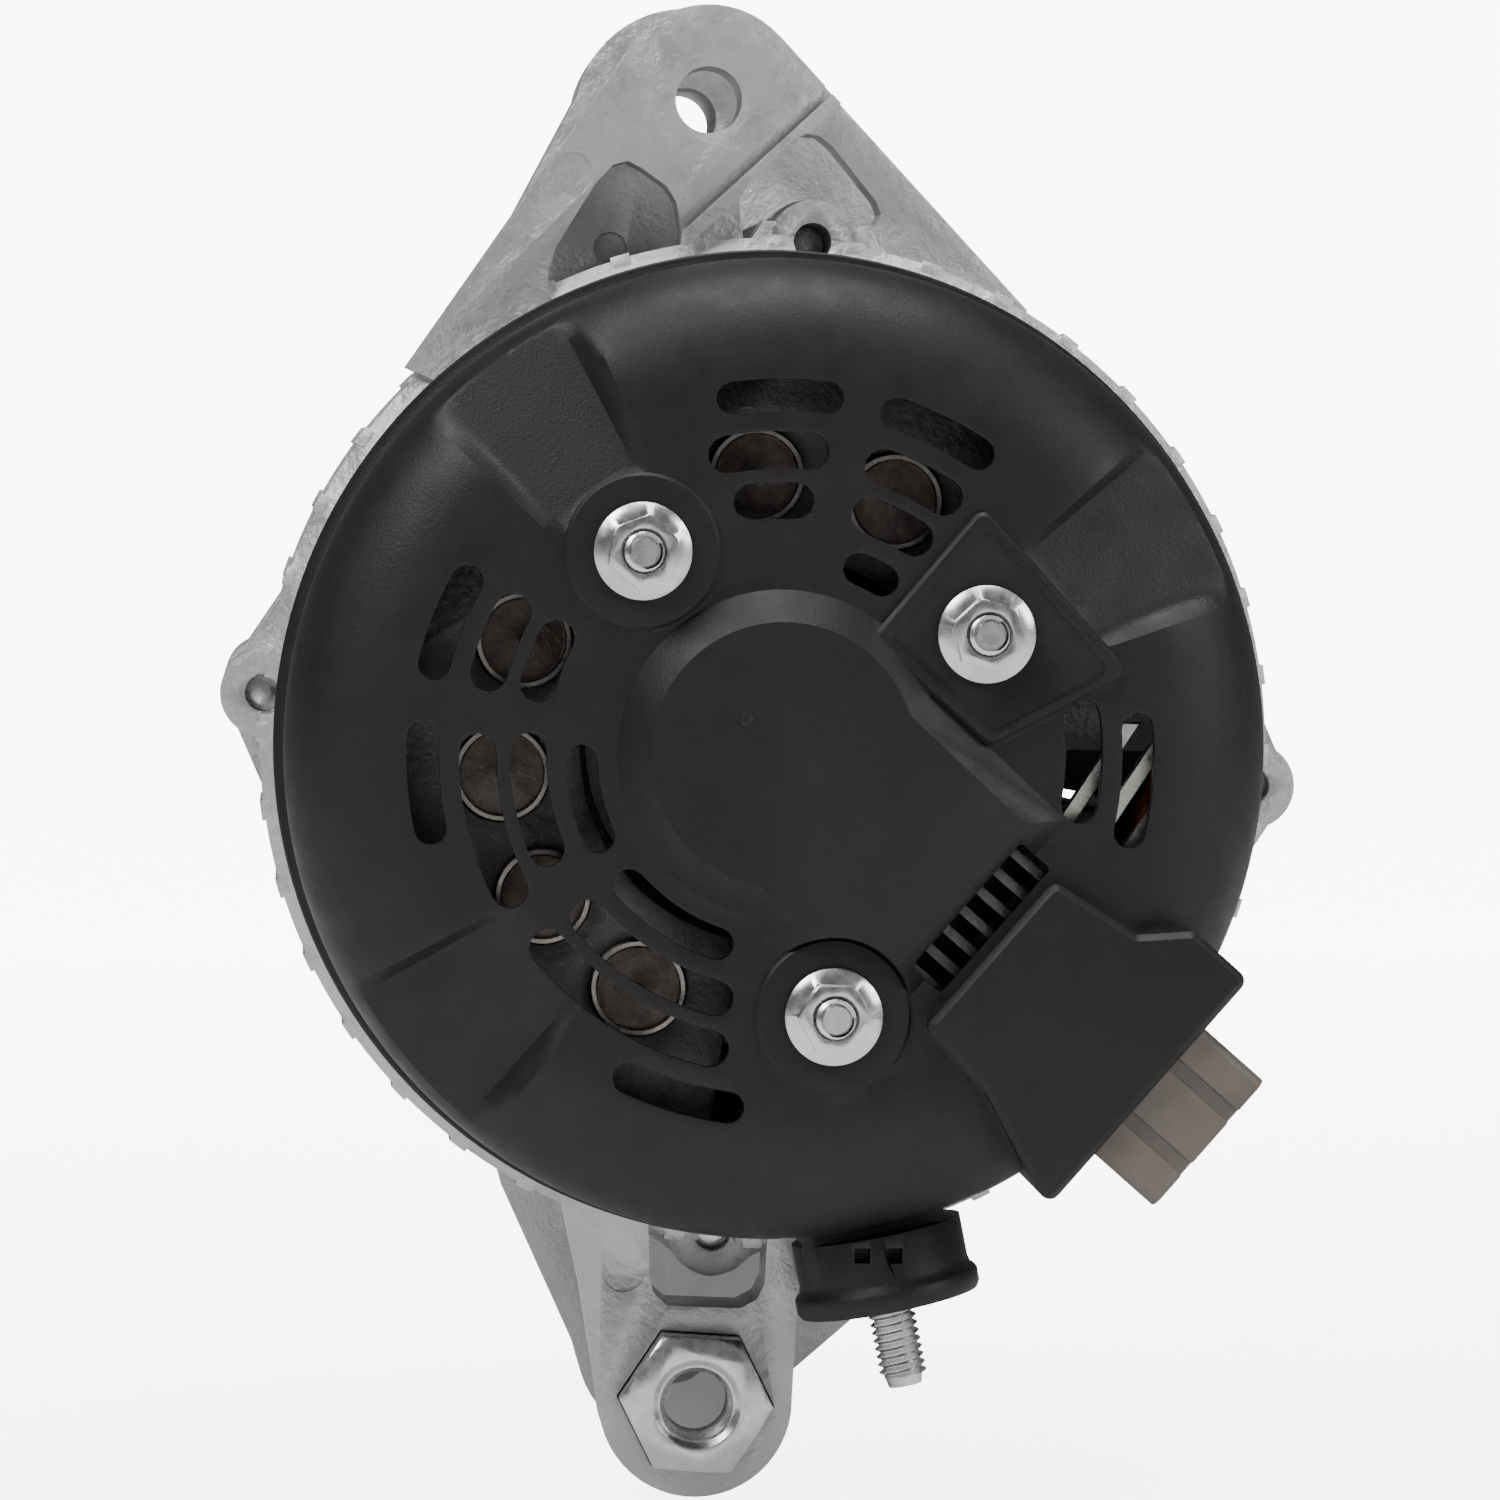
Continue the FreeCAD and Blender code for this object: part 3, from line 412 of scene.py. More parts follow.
class Finish:
    """A node material built up in layers on the piece's own coordinates."""

    def __init__(self, name, metallic=0.0, stretch=EVEN):
        self.material = bpy.data.materials.new(name)
        self.material.use_nodes = True
        self.nodes = self.material.node_tree.nodes
        self.links = self.material.node_tree.links
        self.shader = self.nodes["Principled BSDF"]
        self.shader.inputs["Metallic"].default_value = metallic
        coordinates = self.nodes.new("ShaderNodeTexCoord")
        self.mapping = self.nodes.new("ShaderNodeMapping")
        self.mapping.inputs["Scale"].default_value = stretch
        self.links.new(coordinates.outputs["Object"], self.mapping.inputs["Vector"])
        self.place = self.mapping.outputs["Vector"]
        self.bump = None

    def noise(self, scale, detail=4.0, roughness=0.55):
        """A noise pattern in the piece's space."""
        node = self.nodes.new("ShaderNodeTexNoise")
        node.inputs["Scale"].default_value = scale
        node.inputs["Detail"].default_value = detail
        node.inputs["Roughness"].default_value = roughness
        self.links.new(self.place, node.inputs["Vector"])
        return node.outputs["Fac"]

    def cells(self, scale):
        """A cell pattern in the piece's space."""
        node = self.nodes.new("ShaderNodeTexVoronoi")
        node.inputs["Scale"].default_value = scale
        self.links.new(self.place, node.inputs["Vector"])
        return node.outputs["Distance"]

    def spread(self, pattern, low, high, start=0.3, stop=0.7):
        """A pattern mapped to a range of values."""
        node = self.nodes.new("ShaderNodeMapRange")
        node.inputs["From Min"].default_value = start
        node.inputs["From Max"].default_value = stop
        node.inputs["To Min"].default_value = low
        node.inputs["To Max"].default_value = high
        self.links.new(pattern, node.inputs["Value"])
        return node.outputs["Result"]

    def colour(self, pattern, stops):
        """Base colour from a pattern through coloured stops."""
        ramp = self.nodes.new("ShaderNodeValToRGB")
        ramp.color_ramp.elements[0].position = stops[0][0]
        ramp.color_ramp.elements[0].color = (*stops[0][1], 1.0)
        ramp.color_ramp.elements[1].position = stops[-1][0]
        ramp.color_ramp.elements[1].color = (*stops[-1][1], 1.0)
        for position, tone in stops[1:-1]:
            ramp.color_ramp.elements.new(position).color = (*tone, 1.0)
        self.links.new(pattern, ramp.inputs["Fac"])
        self.links.new(ramp.outputs["Color"], self.shader.inputs["Base Color"])

    def roughness(self, pattern, low, high):
        """Roughness that wanders with a pattern."""
        self.links.new(self.spread(pattern, low, high), self.shader.inputs["Roughness"])

    def relief(self, pattern, depth, strength=1.0):
        """One more layer of bump, as deep as given in millimetres."""
        node = self.nodes.new("ShaderNodeBump")
        node.inputs["Distance"].default_value = depth * MM
        node.inputs["Strength"].default_value = strength
        self.links.new(pattern, node.inputs["Height"])
        if self.bump is not None:
            self.links.new(self.bump, node.inputs["Normal"])
        self.bump = node.outputs["Normal"]
        self.links.new(self.bump, self.shader.inputs["Normal"])


def shade_of(tone, factor):
    """A colour made lighter or darker."""
    return tuple(min(1.0, part * factor) for part in tone)


def layered(name, tone, stops, cloud, haze, gloss, bumps, metallic=0.0, stretch=EVEN):
    """A finish with one colour pattern, one roughness pattern and some bumps.

    A stop is a place with either a colour or a factor of the tone, and a bump is
    (scale, detail, depth, strength).
    """
    finish = Finish(name, metallic, stretch)
    finish.colour(finish.noise(*cloud), [
        (place, shade if isinstance(shade, tuple) else shade_of(tone, shade)) for place, shade in stops])
    finish.roughness(finish.noise(*haze), *gloss)
    for scale, detail, depth, strength in bumps:
        finish.relief(finish.noise(scale, detail), depth, strength)
    return finish


def moulded(name, tone, gloss=(0.42, 0.56), grain=0.05):
    """Moulded plastic with a fine spark-eroded grain and faint flow marks."""
    finish = layered(name, tone, [(0.3, 0.86), (0.7, 1.16)], (90, 5), (220, 4), gloss,
                     [(2600, 3, grain, 1.0), (60, 2, 0.12, 0.4)])
    finish.shader.inputs["Specular IOR Level"].default_value = 0.32
    return finish.material


def cast_metal(name, tone):
    """Pressure-cast aluminium: cloudy, finely pitted and a little stained."""
    finish = layered(name, tone, [(0.28, 0.88), (0.45, 1.0), (0.62, 1.04), (0.8, 1.1)],
                     (130, 6, 0.62), (260, 5), (0.36, 0.56), [], 0.75)
    finish.relief(finish.noise(900, 5, 0.6), 0.22)
    finish.relief(finish.cells(420), 0.05, 0.6)
    finish.relief(finish.noise(120, 3), 0.25, 0.5)
    return finish.material


def bright_metal(name, tone, stretch=EVEN, gloss=(0.2, 0.36)):
    """Plated or turned steel with fine drawn scratches."""
    return layered(name, tone, [(0.3, 0.84), (0.7, 1.08)], (160, 4), (700, 5), gloss,
                   [(1800, 4, 0.005, 1.0)], 1.0, stretch).material


def stacked_sheet(name, tone):
    """Varnished sheet-steel laminations seen on edge."""
    return layered(name, tone, [(0.25, 0.75), (0.5, 1.0), (0.78, (0.2, 0.17, 0.145))], (70, 6),
                   (300, 4), (0.38, 0.6), [(1400, 4, 0.06, 1.0)], 0.75).material


def enamelled(name, tone):
    """Copper wire under clear brown enamel."""
    finish = layered(name, tone, [(0.25, 0.55), (0.55, 1.0), (0.8, 1.25)], (240, 5), (500, 3),
                     (0.24, 0.42), [(1500, 2, 0.04, 1.0)], 0.75)
    finish.shader.inputs["Coat Weight"].default_value = 0.6
    finish.shader.inputs["Coat Roughness"].default_value = 0.15
    return finish.material


def painted(name, tone, gloss=(0.36, 0.5)):
    """Thin black finish on steel, worn a little lighter in patches."""
    return layered(name, tone, [(0.3, 0.75), (0.6, 1.0), (0.82, 2.2)], (110, 7, 0.65), (320, 4),
                   gloss, [(1600, 4, 0.05, 1.0)], 0.3).material


def potting(name, tone):
    """Cast resin filling, uneven and slightly glossy."""
    return layered(name, tone, [(0.3, 0.62), (0.52, 1.0), (0.75, 1.35)], (420, 5), (600, 3),
                   (0.28, 0.5), [(800, 3, 0.25, 1.0)]).material


def colour_field(name, description, default):
    """A colour a user would change."""
    return bpy.props.FloatVectorProperty(
        name=name, description=description, subtype="COLOR", default=default)


def size_field(name, description, default):
    """A size a user would change, in metres."""
    return bpy.props.FloatProperty(
        name=name, description=description, subtype="DISTANCE", default=default)


class AlternatorColours(bpy.types.PropertyGroup):
    """Colours of the parts that show most."""
    cover: colour_field("Cover", "Moulded rear cover", (0.0075, 0.0077, 0.0083))
    casting: colour_field("Casting", "Aluminium frames and ears", (0.47, 0.465, 0.47))
    plug: colour_field("Plug", "Wiring socket", (0.125, 0.106, 0.092))
    zinc: colour_field("Zinc", "Plated nuts, studs and bolts", (0.62, 0.62, 0.61))
    enamel: colour_field("Enamel", "Winding wire", (0.42, 0.13, 0.05))
    resin: colour_field("Resin", "Diode filling", (0.15, 0.118, 0.105))


class AlternatorSizes(bpy.types.PropertyGroup):
    """Sizes of the visible shapes and the camera's distance."""
    cover_wall: size_field("Cover Wall", "Thickness of the moulded cover", 0.0025)
    dome_start: size_field("Dome Start", "Radius where the cover's flat face starts to bend", 0.044)
    dome_depth: size_field("Dome Depth", "Depth over which the cover's shoulder bends", 0.013)
    boss_rise: size_field("Boss Rise", "Height of the centre boss above the face", 0.003)
    cast_edge: size_field("Cast Edge", "Edge rounding of the castings", 0.0007)
    lamination: size_field("Lamination", "Thickness of one sheet of the stator core", 0.0006)
    camera_distance: size_field("Camera Distance", "From the camera to the cover's face", 0.9)


class ALTERNATOR_OT_finishes(bpy.types.Operator):
    """Make the materials and put them on the frame's own parts"""
    bl_idname = "alternator.finishes"
    bl_label = "Finishes"

    def execute(self, context):
        colours = context.scene.alternator_colours
        recipes = {
            "cover_plastic": (moulded, colours.cover),
            "cast_aluminium": (cast_metal, colours.casting),
            "zinc_steel": (bright_metal, colours.zinc),
            "turned_steel": (bright_metal, (0.5, 0.5, 0.51), (1.0, 6.0, 1.0)),
            "pulley_steel": (painted, (0.03, 0.03, 0.033)),
            "lamination_steel": (stacked_sheet, (0.2, 0.19, 0.185)),
            "copper_winding": (enamelled, colours.enamel),
            "claw_iron": (bright_metal, (0.2, 0.2, 0.21), EVEN, (0.4, 0.6)),
            "fan_steel": (bright_metal, (0.33, 0.33, 0.34), EVEN, (0.35, 0.5)),
            "copper": (bright_metal, (0.7, 0.32, 0.17)),
            "insulator_plastic": (moulded, (0.03, 0.03, 0.032)),
            "plug_plastic": (moulded, colours.plug, (0.4, 0.52)),
            "bobbin_plastic": (moulded, (0.6, 0.55, 0.42)),
            "seal_rubber": (moulded, (0.02, 0.02, 0.02), (0.6, 0.75)),
            # Heat sinks, the regulator fins on the same slot, and diode cans are toned darker than bare metal
            # as painted shade for the dim inside of the cover's slots; the fins' dark look is partly their
            # own colour.
            "sink_aluminium": (cast_metal, (0.12, 0.116, 0.112)),
            "diode_metal": (bright_metal, (0.34, 0.32, 0.3)),
            "diode_resin": (potting, colours.resin),
            "carbon": (moulded, (0.045, 0.045, 0.046), (0.5, 0.7)),
            "spring_steel": (bright_metal, (0.5, 0.5, 0.5)),
            "tinned_copper": (bright_metal, (0.72, 0.70, 0.66))}
        for name, (recipe, tone, *settings) in recipes.items():
            MATERIALS[name] = recipe(name, tuple(tone), *settings)
        for row in frame["record"]["subparts"]:
            part = frame["nodes"][row["node"]]
            part.data.materials.clear()
            part.data.materials.append(MATERIALS[row["material_slot"]])
            pick(part)
            bpy.ops.object.shade_smooth_by_angle(angle=math.radians(35))
        return {"FINISHED"}


# --- rear cover ---------------------------------------------------------------------------------
SLOT_RINGS = [(22.5, 26.5), (28.7, 33.2), (34.8, 39.4), (41.8, 45.8)]
VENTS = [
    (3, 80, 100.5), (2, 81, 104), (1, 82.6, 101),
    (3, 54, 74), (2, 54, 74), (1, 54, 74), (0, 55, 72),
    (3, 148.5, 168), (2, 148.5, 168), (1, 148.5, 168),
    (3, 174.5, 194.5), (2, 176, 210), (1, 175, 206), (0, 177, 209),
    (3, 242, 264), (2, 216, 260), (1, 216, 259), (0, 216, 256),
    (2, -13.5, 10.5), (3, -15.5, 6.5)]
VALLEYS = [(125.5, 9.0), (220.0, 10.0), (29.5, 9.5)]
VALLEY_START = 37.0
VALLEY_SLOPE = math.tan(math.radians(19))


def valley_share(angle, middle, half, side=1.6):
    """How fully a valley covers an angle: 1 on its floor, 0 outside it."""
    away = abs((angle - middle + 180) % 360 - 180)
    share = min(1.0, max(0.0, (half + side - away) / side))
    return share * share * (3 - 2 * share)


def dome(radius, start, depth, wall_radius):
    """Station of the cover's bent shoulder at a radius."""
    if radius <= start:
        return FACE
    share = min(1.0, (radius - start) / (wall_radius - start))
    return FACE + depth * (1 - math.sqrt(1 - share * share))


def press_valleys(shell, start, depth, wall_radius):
    """Sink three sloping valleys into the shoulder of the cover, inside and outside alike."""
    for vertex in shell.data.vertices:
        x, y, z = [part / MM for part in vertex.co]
        radius = math.hypot(x, z)
        if radius < VALLEY_START or y > FACE + depth + 2.6:
            continue
        angle = math.degrees(math.atan2(z, x))
        for middle, half in VALLEYS:
            share = valley_share(angle, middle, half)
            along = radius * math.cos(math.radians(angle - middle))
            floor = FACE + (along - VALLEY_START) * VALLEY_SLOPE
            y += share * max(0.0, floor - dome(radius, start, depth, wall_radius))
        vertex.co.y = y * MM


def cover_shell(sizes):
    """The cover's face, bent shoulder, wall and rim lip as one closed skin."""
    start, depth, wall = sizes.dome_start / MM, sizes.dome_depth / MM, sizes.cover_wall / MM
    wall_radius = COVER_RADIUS - 1.3
    flat = [0.0] + [float(radius) for radius in range(6, int(start), 2)]
    outside = [(radius, FACE) for radius in flat]
    inside = [(radius, FACE + wall) for radius in flat]
    bends = 18
    for index in range(bends + 1):
        turn = math.radians(90 * index / bends)
        outside.append((start + (wall_radius - start) * math.sin(turn), FACE + depth * (1 - math.cos(turn))))
        inside.append((start + (wall_radius - wall - start) * math.sin(turn),
                       FACE + wall + (depth - 0.5) * (1 - math.cos(turn))))
    lip = [(wall_radius, RIM - 3.2), (COVER_RADIUS - 0.25, RIM - 3.0), (COVER_RADIUS, RIM - 2.7),
           (COVER_RADIUS, RIM), (wall_radius - wall, RIM)]
    shell = lathe("rear_cover_shell", outside + lip + inside[::-1], 240)
    press_valleys(shell, start, depth, wall_radius)
    return shell


class ALTERNATOR_OT_rear_cover(bpy.types.Operator):
    """Mould the rear cover with its boss, regulator block, pads and vent slots"""
    bl_idname = "alternator.rear_cover"
    bl_label = "Rear Cover"

    def execute(self, context):
        sizes = context.scene.alternator_sizes
        cover = cover_shell(sizes)
        top = FACE - sizes.boss_rise / MM
        boss = arc(20.1, REGULATOR_ANGLE + 62, REGULATOR_ANGLE + 298, 40)
        boss += [outward(31.5, -18.5), outward(31.5, 17.0)]
        block = rounded([outward(*corner) for corner in (
            (35, -13.5), (35, 10.4), (47, 12.2), (52, 17.2), (61, 17.2), (61, -20), (46, -14.5))], 1.4)
        pad = rounded([outward(*corner) for corner in (
            (-1.8, 39.0), (-1.3, 17.6), (18.5, 17.4), (25.4, 35.8))], 1.6)
        additions = [
            raised("boss", boss, FACE + 1.0, FACE - 0.05, 3.9, top),
            raised("block", block, RIM - 0.8, FACE - 3.2, 0.8, FACE - 4.0),
            raised("pad", pad, FACE + 1.0, FACE - 0.7, 0.5, FACE - 1.2)]
        for x, z in (COVER_STUDS[0], COVER_STUDS[2]):
            seat = lathe("seat", [(0, FACE + 1), (9.6, FACE + 1), (9.6, FACE - 0.25),
                                  (9.2, FACE - 0.6), (0, FACE - 0.6)], 64)
            seat.data.transform(shifted(x, 0, z))
            additions.append(seat)
        seat_well = lathe("seat_well", [(0, FACE - 9), (9.8, FACE - 9), (9.8, FACE - 0.1),
                                        (0, FACE - 0.1)], 56)
        seat_well.data.transform(shifted(COVER_STUDS[2][0], 0, COVER_STUDS[2][1]))
        combine(cover, additions[:2], "UNION")
        combine(cover, [seat_well], "DIFFERENCE")
        combine(cover, additions[2:], "UNION")
        cutters = []
        for name, corners, bend, back, front in (
                ("pad_floor", [(-0.1, 37.4), (0.3, 19.3), (17.6, 19.1), (23.6, 34.2)], 1.4,
                 FACE - 5, FACE - 0.75),
                ("window", [(29, -9), (29, 11.3), (34.1, 11.3), (34.1, -9)], 0.6, FACE - 8, FACE + 9),
                ("hollow", [(33.6, -12.6), (33.6, 9.6), (58.5, 10.4), (58.5, -13)], 0, FACE + 1, RIM + 5),
                ("plug_way", [(53, -11.5), (53, 9.4), (78, 9.4), (78, -11.5)], 0,
                 FACE - 2.2, FACE + 12)):
            corners = [outward(*corner) for corner in corners]
            cutters.append(prism(name, rounded(corners, bend) if bend else corners, back, front))
        notch = arc(55, -89.5, -65.5, 8) + arc(66, -65.5, -89.5, 8)
        cutters.append(prism("notch", notch, FACE + 10.5, RIM + 6))
        cutters += [prism("vent", slot_outline(*SLOT_RINGS[row], start, stop), FACE - 6, FACE + 7)
                    for row, start, stop in VENTS]
        for x, z in COVER_STUDS:
            cutters.append(prism("hole", arc(3.65, 4, 356, 45, (x, z)), FACE - 9, FACE + 8.7))
        combine(cover, cutters, "DIFFERENCE")
        soften(cover, 0.28, 2, 40)
        gate = lathe("gate", [(0, top + 0.2), (0.9, top + 0.2), (0.9, top - 0.12), (0.5, top - 0.3),
                              (0, top - 0.3)], 20)
        gate.data.transform(shifted(-4.5, 0, 4.4))
        cover = gather("rear_cover_shell", [cover, gate])
        settle(cover, "cover_plastic", "rear_cover", smooth=32)
        return {"FINISHED"}


class ALTERNATOR_OT_cover_fixings(bpy.types.Operator):
    """Make the three cover studs with their threads, flange nuts and bushes"""
    bl_idname = "alternator.cover_fixings"
    bl_label = "Cover Fixings"

    def execute(self, context):
        seat, tip = FACE - BUSH_FLANGE, NUT_TIP
        nut = hexagon("nut", NUT_FLATS, tip, seat - 1.0, 0.5, 12)
        flange = lathe("flange", [(0, seat), (NUT_FLANGE, seat), (NUT_FLANGE, seat - 0.7),
                                  (4.4, seat - 1.5), (0, seat - 1.5)], 64)
        combine(nut, [flange], "UNION")
        bore = lathe("bore", [(0, tip - 1), (2.9, tip - 0.01), (STUD_RADIUS, tip + 0.5),
                              (STUD_RADIUS, seat + 1), (0, seat + 1)], 40)
        combine(nut, [bore], "DIFFERENCE")
        soften(nut, 0.12, 2, 30)
        bush = lathe("bush", [(2.5, seat + 0.1), (BUSH_RADIUS - 0.1, seat + 0.1),
                              (BUSH_RADIUS, seat + 0.25), (BUSH_RADIUS, FACE), (3.55, FACE),
                              (3.55, FACE + 3), (2.5, FACE + 3)], 64)
        soften(bush, 0.1, 1, 30)
        stud = threaded_rod("stud", STUD_RADIUS, 0.8, STUD_LENGTH, 1.65, 1.2)
        stud.data.transform(shifted(0, FACE + STUD_LENGTH - 5.5, 0) @ rotated(90, "X"))
        parts = {"cover_nuts": nut, "cover_bushes": bush, "cover_studs": stud}
        for node, master in parts.items():
            for index, ((x, z), turn) in enumerate(zip(COVER_STUDS, STUD_TURNS)):
                placed = shifted(x, 0, z) @ about_shaft(turn)
                settle(twin(master, f"{node}_{index + 1}", placed), "zinc_steel", node)
            bpy.data.objects.remove(master, do_unlink=True)
        return {"FINISHED"}


# --- castings -----------------------------------------------------------------------------------
def fade_ribs(casting):
    """Run the back ends of the wall ribs out into the frame's bevelled shoulder."""
    foot_radius, foot_station, slope_width, slope = 61.4, -113.4, 2.4, 0.58
    for vertex in casting.data.vertices:
        x, y, z = vertex.co / MM
        radius = math.hypot(x, z)
        if -113.1 < y < -112.05 and 62.0 < radius < 64.4:
            shoulder = foot_station + min(radius - foot_radius, slope_width) * slope
            vertex.co.y = max(y, shoulder) * MM


class ALTERNATOR_OT_castings(bpy.types.Operator):
    """Soften the two cast frames, run the rear frame's rib ends out and cut its ejector marks and pin hole"""
    bl_idname = "alternator.castings"
    bl_label = "Cast Frames"

    def execute(self, context):
        edge = context.scene.alternator_sizes.cast_edge / MM
        rear = merged_copy("rear_frame", "rear_frame_casting")
        fade_ribs(rear)
        marks = []
        for x, z in EJECTOR_MARKS:
            mark = lathe("mark", [(0, EAR_BACK - 3), (2.8, EAR_BACK - 3), (2.7, EAR_BACK + 0.45),
                                  (0, EAR_BACK + 0.45)], 40)
            mark.data.transform(shifted(x, 0, z))
            marks.append(mark)
        pin_hole = lathe("pin_hole", [(0, EAR_BACK + 8), (2.2, EAR_BACK + 8), (2.0, EAR_BACK + 11.3),
                                      (0, EAR_BACK + 11.3)], 32)
        pin_hole.data.transform(shifted(POCKET_HOLE[0], 0, POCKET_HOLE[1]))
        marks.append(pin_hole)
        combine(rear, marks, "DIFFERENCE")
        front = merged_copy("drive_frame", "drive_frame_casting")
        for casting, node in ((rear, "rear_frame"), (front, "drive_frame")):
            soften(casting, edge, 2, 38)
            settle(casting, "cast_aluminium", node)
        return {"FINISHED"}


class ALTERNATOR_OT_pivot_nut(bpy.types.Operator):
    """Make the captive pivot nut with chamfers and a cut thread"""
    bl_idname = "alternator.pivot_nut"
    bl_label = "Pivot Nut"

    def execute(self, context):
        low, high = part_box("pivot_nut")
        back, front = low[1] / MM, high[1] / MM
        nut = hexagon("pivot_nut_threaded", PIVOT_NUT_FLATS, back, front, 1.3, -4)
        bore = lathe("bore", [(0, back - 1), (6.4, back - 0.8), (4.9, back + 0.7), (4.6, back + 0.7),
                              (4.6, front + 1), (0, front + 1)], 56)
        combine(nut, [bore], "DIFFERENCE")
        soften(nut, 0.25, 2, 30)
        ridges = []
        for index in range(int((front - back - 1.6) / PIVOT_PITCH)):
            station = back + 1.2 + index * PIVOT_PITCH
            ridges.append(lathe("ridge", [(4.65, station), (4.05, station + 0.6), (4.05, station + 0.75),
                                          (4.65, station + 1.35)], 48))
        nut = gather("pivot_nut_threaded", [nut] + ridges)
        nut.data.transform(shifted(LOWER_BOLT[0], 0, LOWER_BOLT[1]))
        settle(nut, "zinc_steel", "pivot_nut")
        return {"FINISHED"}


class ALTERNATOR_OT_terminal(bpy.types.Operator):
    """Make the output stud and its moulded collar"""
    bl_idname = "alternator.terminal"
    bl_label = "Output Terminal"

    def execute(self, context):
        aim = (shifted(*TERMINAL_ROOT) @ rotated(-TERMINAL_TILT, "Y")
               @ rotated(180, "X"))
        upright = aim @ rotated(90, "X")
        body = lathe("collar", [
            (2.6, 5.0), (10.7, 5.0), (10.7, 10.4), (10.9, 11.2), (11.4, 11.7), (11.6, 12.1),
            (11.6, 13.7), (11.2, 14.4), (6.4, 14.4), (5.9, 14.0), (5.9, 12.2), (2.6, 12.2)], 96)
        body.data.transform(upright)
        block = prism("block", rounded([(3.6, -55.4), (3.6, -63.8), (20.9, -63.8), (20.9, -55.4)], 0.8),
                      -133.9, -120.1)
        collar = combine(body, [block], "UNION")
        slots = [prism("slot", [(x, -61.6), (x + 1.9, -61.6), (x + 1.9, -63.5), (x, -63.5)], -140, -134.6)
                 for x in (9.6, 13.6)]
        clear = lathe("clear", [(0, -2), (2.62, -2), (2.62, 12.6), (0, 12.6)], 40)
        clear.data.transform(upright)
        combine(collar, slots + [clear], "DIFFERENCE")
        soften(collar, 0.35, 2, 35)
        settle(collar, "cover_plastic", "terminal_insulator")
        stud = threaded_rod("output_stud", 2.98, 1.0, TERMINAL_LENGTH, 2.1, 1.5, 28)
        stud.data.transform(aim)
        washer = lathe("washer", [(3.1, 12.6), (5.3, 12.6), (5.3, 13.6), (3.1, 13.6)], 40)
        washer.data.transform(upright)
        stud = gather("output_stud", [stud, washer])
        settle(stud, "zinc_steel", "terminal_stud")
        return {"FINISHED"}


class ALTERNATOR_OT_plug(bpy.types.Operator):
    """Make the keyed wiring socket and its pins"""
    bl_idname = "alternator.plug"
    bl_label = "Plug Socket"

    def execute(self, context):
        turn = about_shaft(REGULATOR_ANGLE)
        back, front = FACE - 2.0, FACE + 11.6
        blocks = []
        for name, start, length, inset, bend in (("plug_shell", 54.0, 17.0, 0.0, 1.5),
                                                 ("mouth", 57.0, 20.0, 1.7, 1.0)):
            low, high = (-11.3, 9.2) if inset == 0 else (-9.5, 7.4)
            outline = rounded([(low, back + inset), (high, back + inset), (high, front - inset),
                               (low, front - inset)], bend)
            blocks.append(start_loop(name, [(start, y, t) for t, y in outline], True))
            bpy.ops.mesh.extrude_region_move(TRANSFORM_OT_translate={"value": (length * MM, 0, 0)})
            close_up(blocks[-1])
        body, inside = blocks
        grooves = [prism("groove", [(60.0, middle - 0.9), (60.0, middle + 0.9), (74, middle + 0.9),
                                    (74, middle - 0.9)], back - 1, back + 0.8) for middle in (-5.2, 3.4)]
        combine(body, [inside] + grooves, "DIFFERENCE")
        body.data.transform(turn)
        soften(body, 0.3, 2, 35)
        settle(body, "plug_plastic", "plug_socket")
        pins = []
        for index in range(PLUG_PINS):
            middle = index * PIN_PITCH - 6.15
            blade = [(53, middle - 0.95), (66.2, middle - 0.95), (67.5, middle - 0.45),
                     (67.5, middle + 0.45), (66.2, middle + 0.95), (53, middle + 0.95)]
            pins.append(prism("blade", blade, FACE + 4.4, FACE + 5.2))
        pins = gather("plug_blades", pins)
        pins.data.transform(turn)
        soften(pins, 0.12, 1, 35)
        settle(pins, "tinned_copper", "plug_pins")
        return {"FINISHED"}


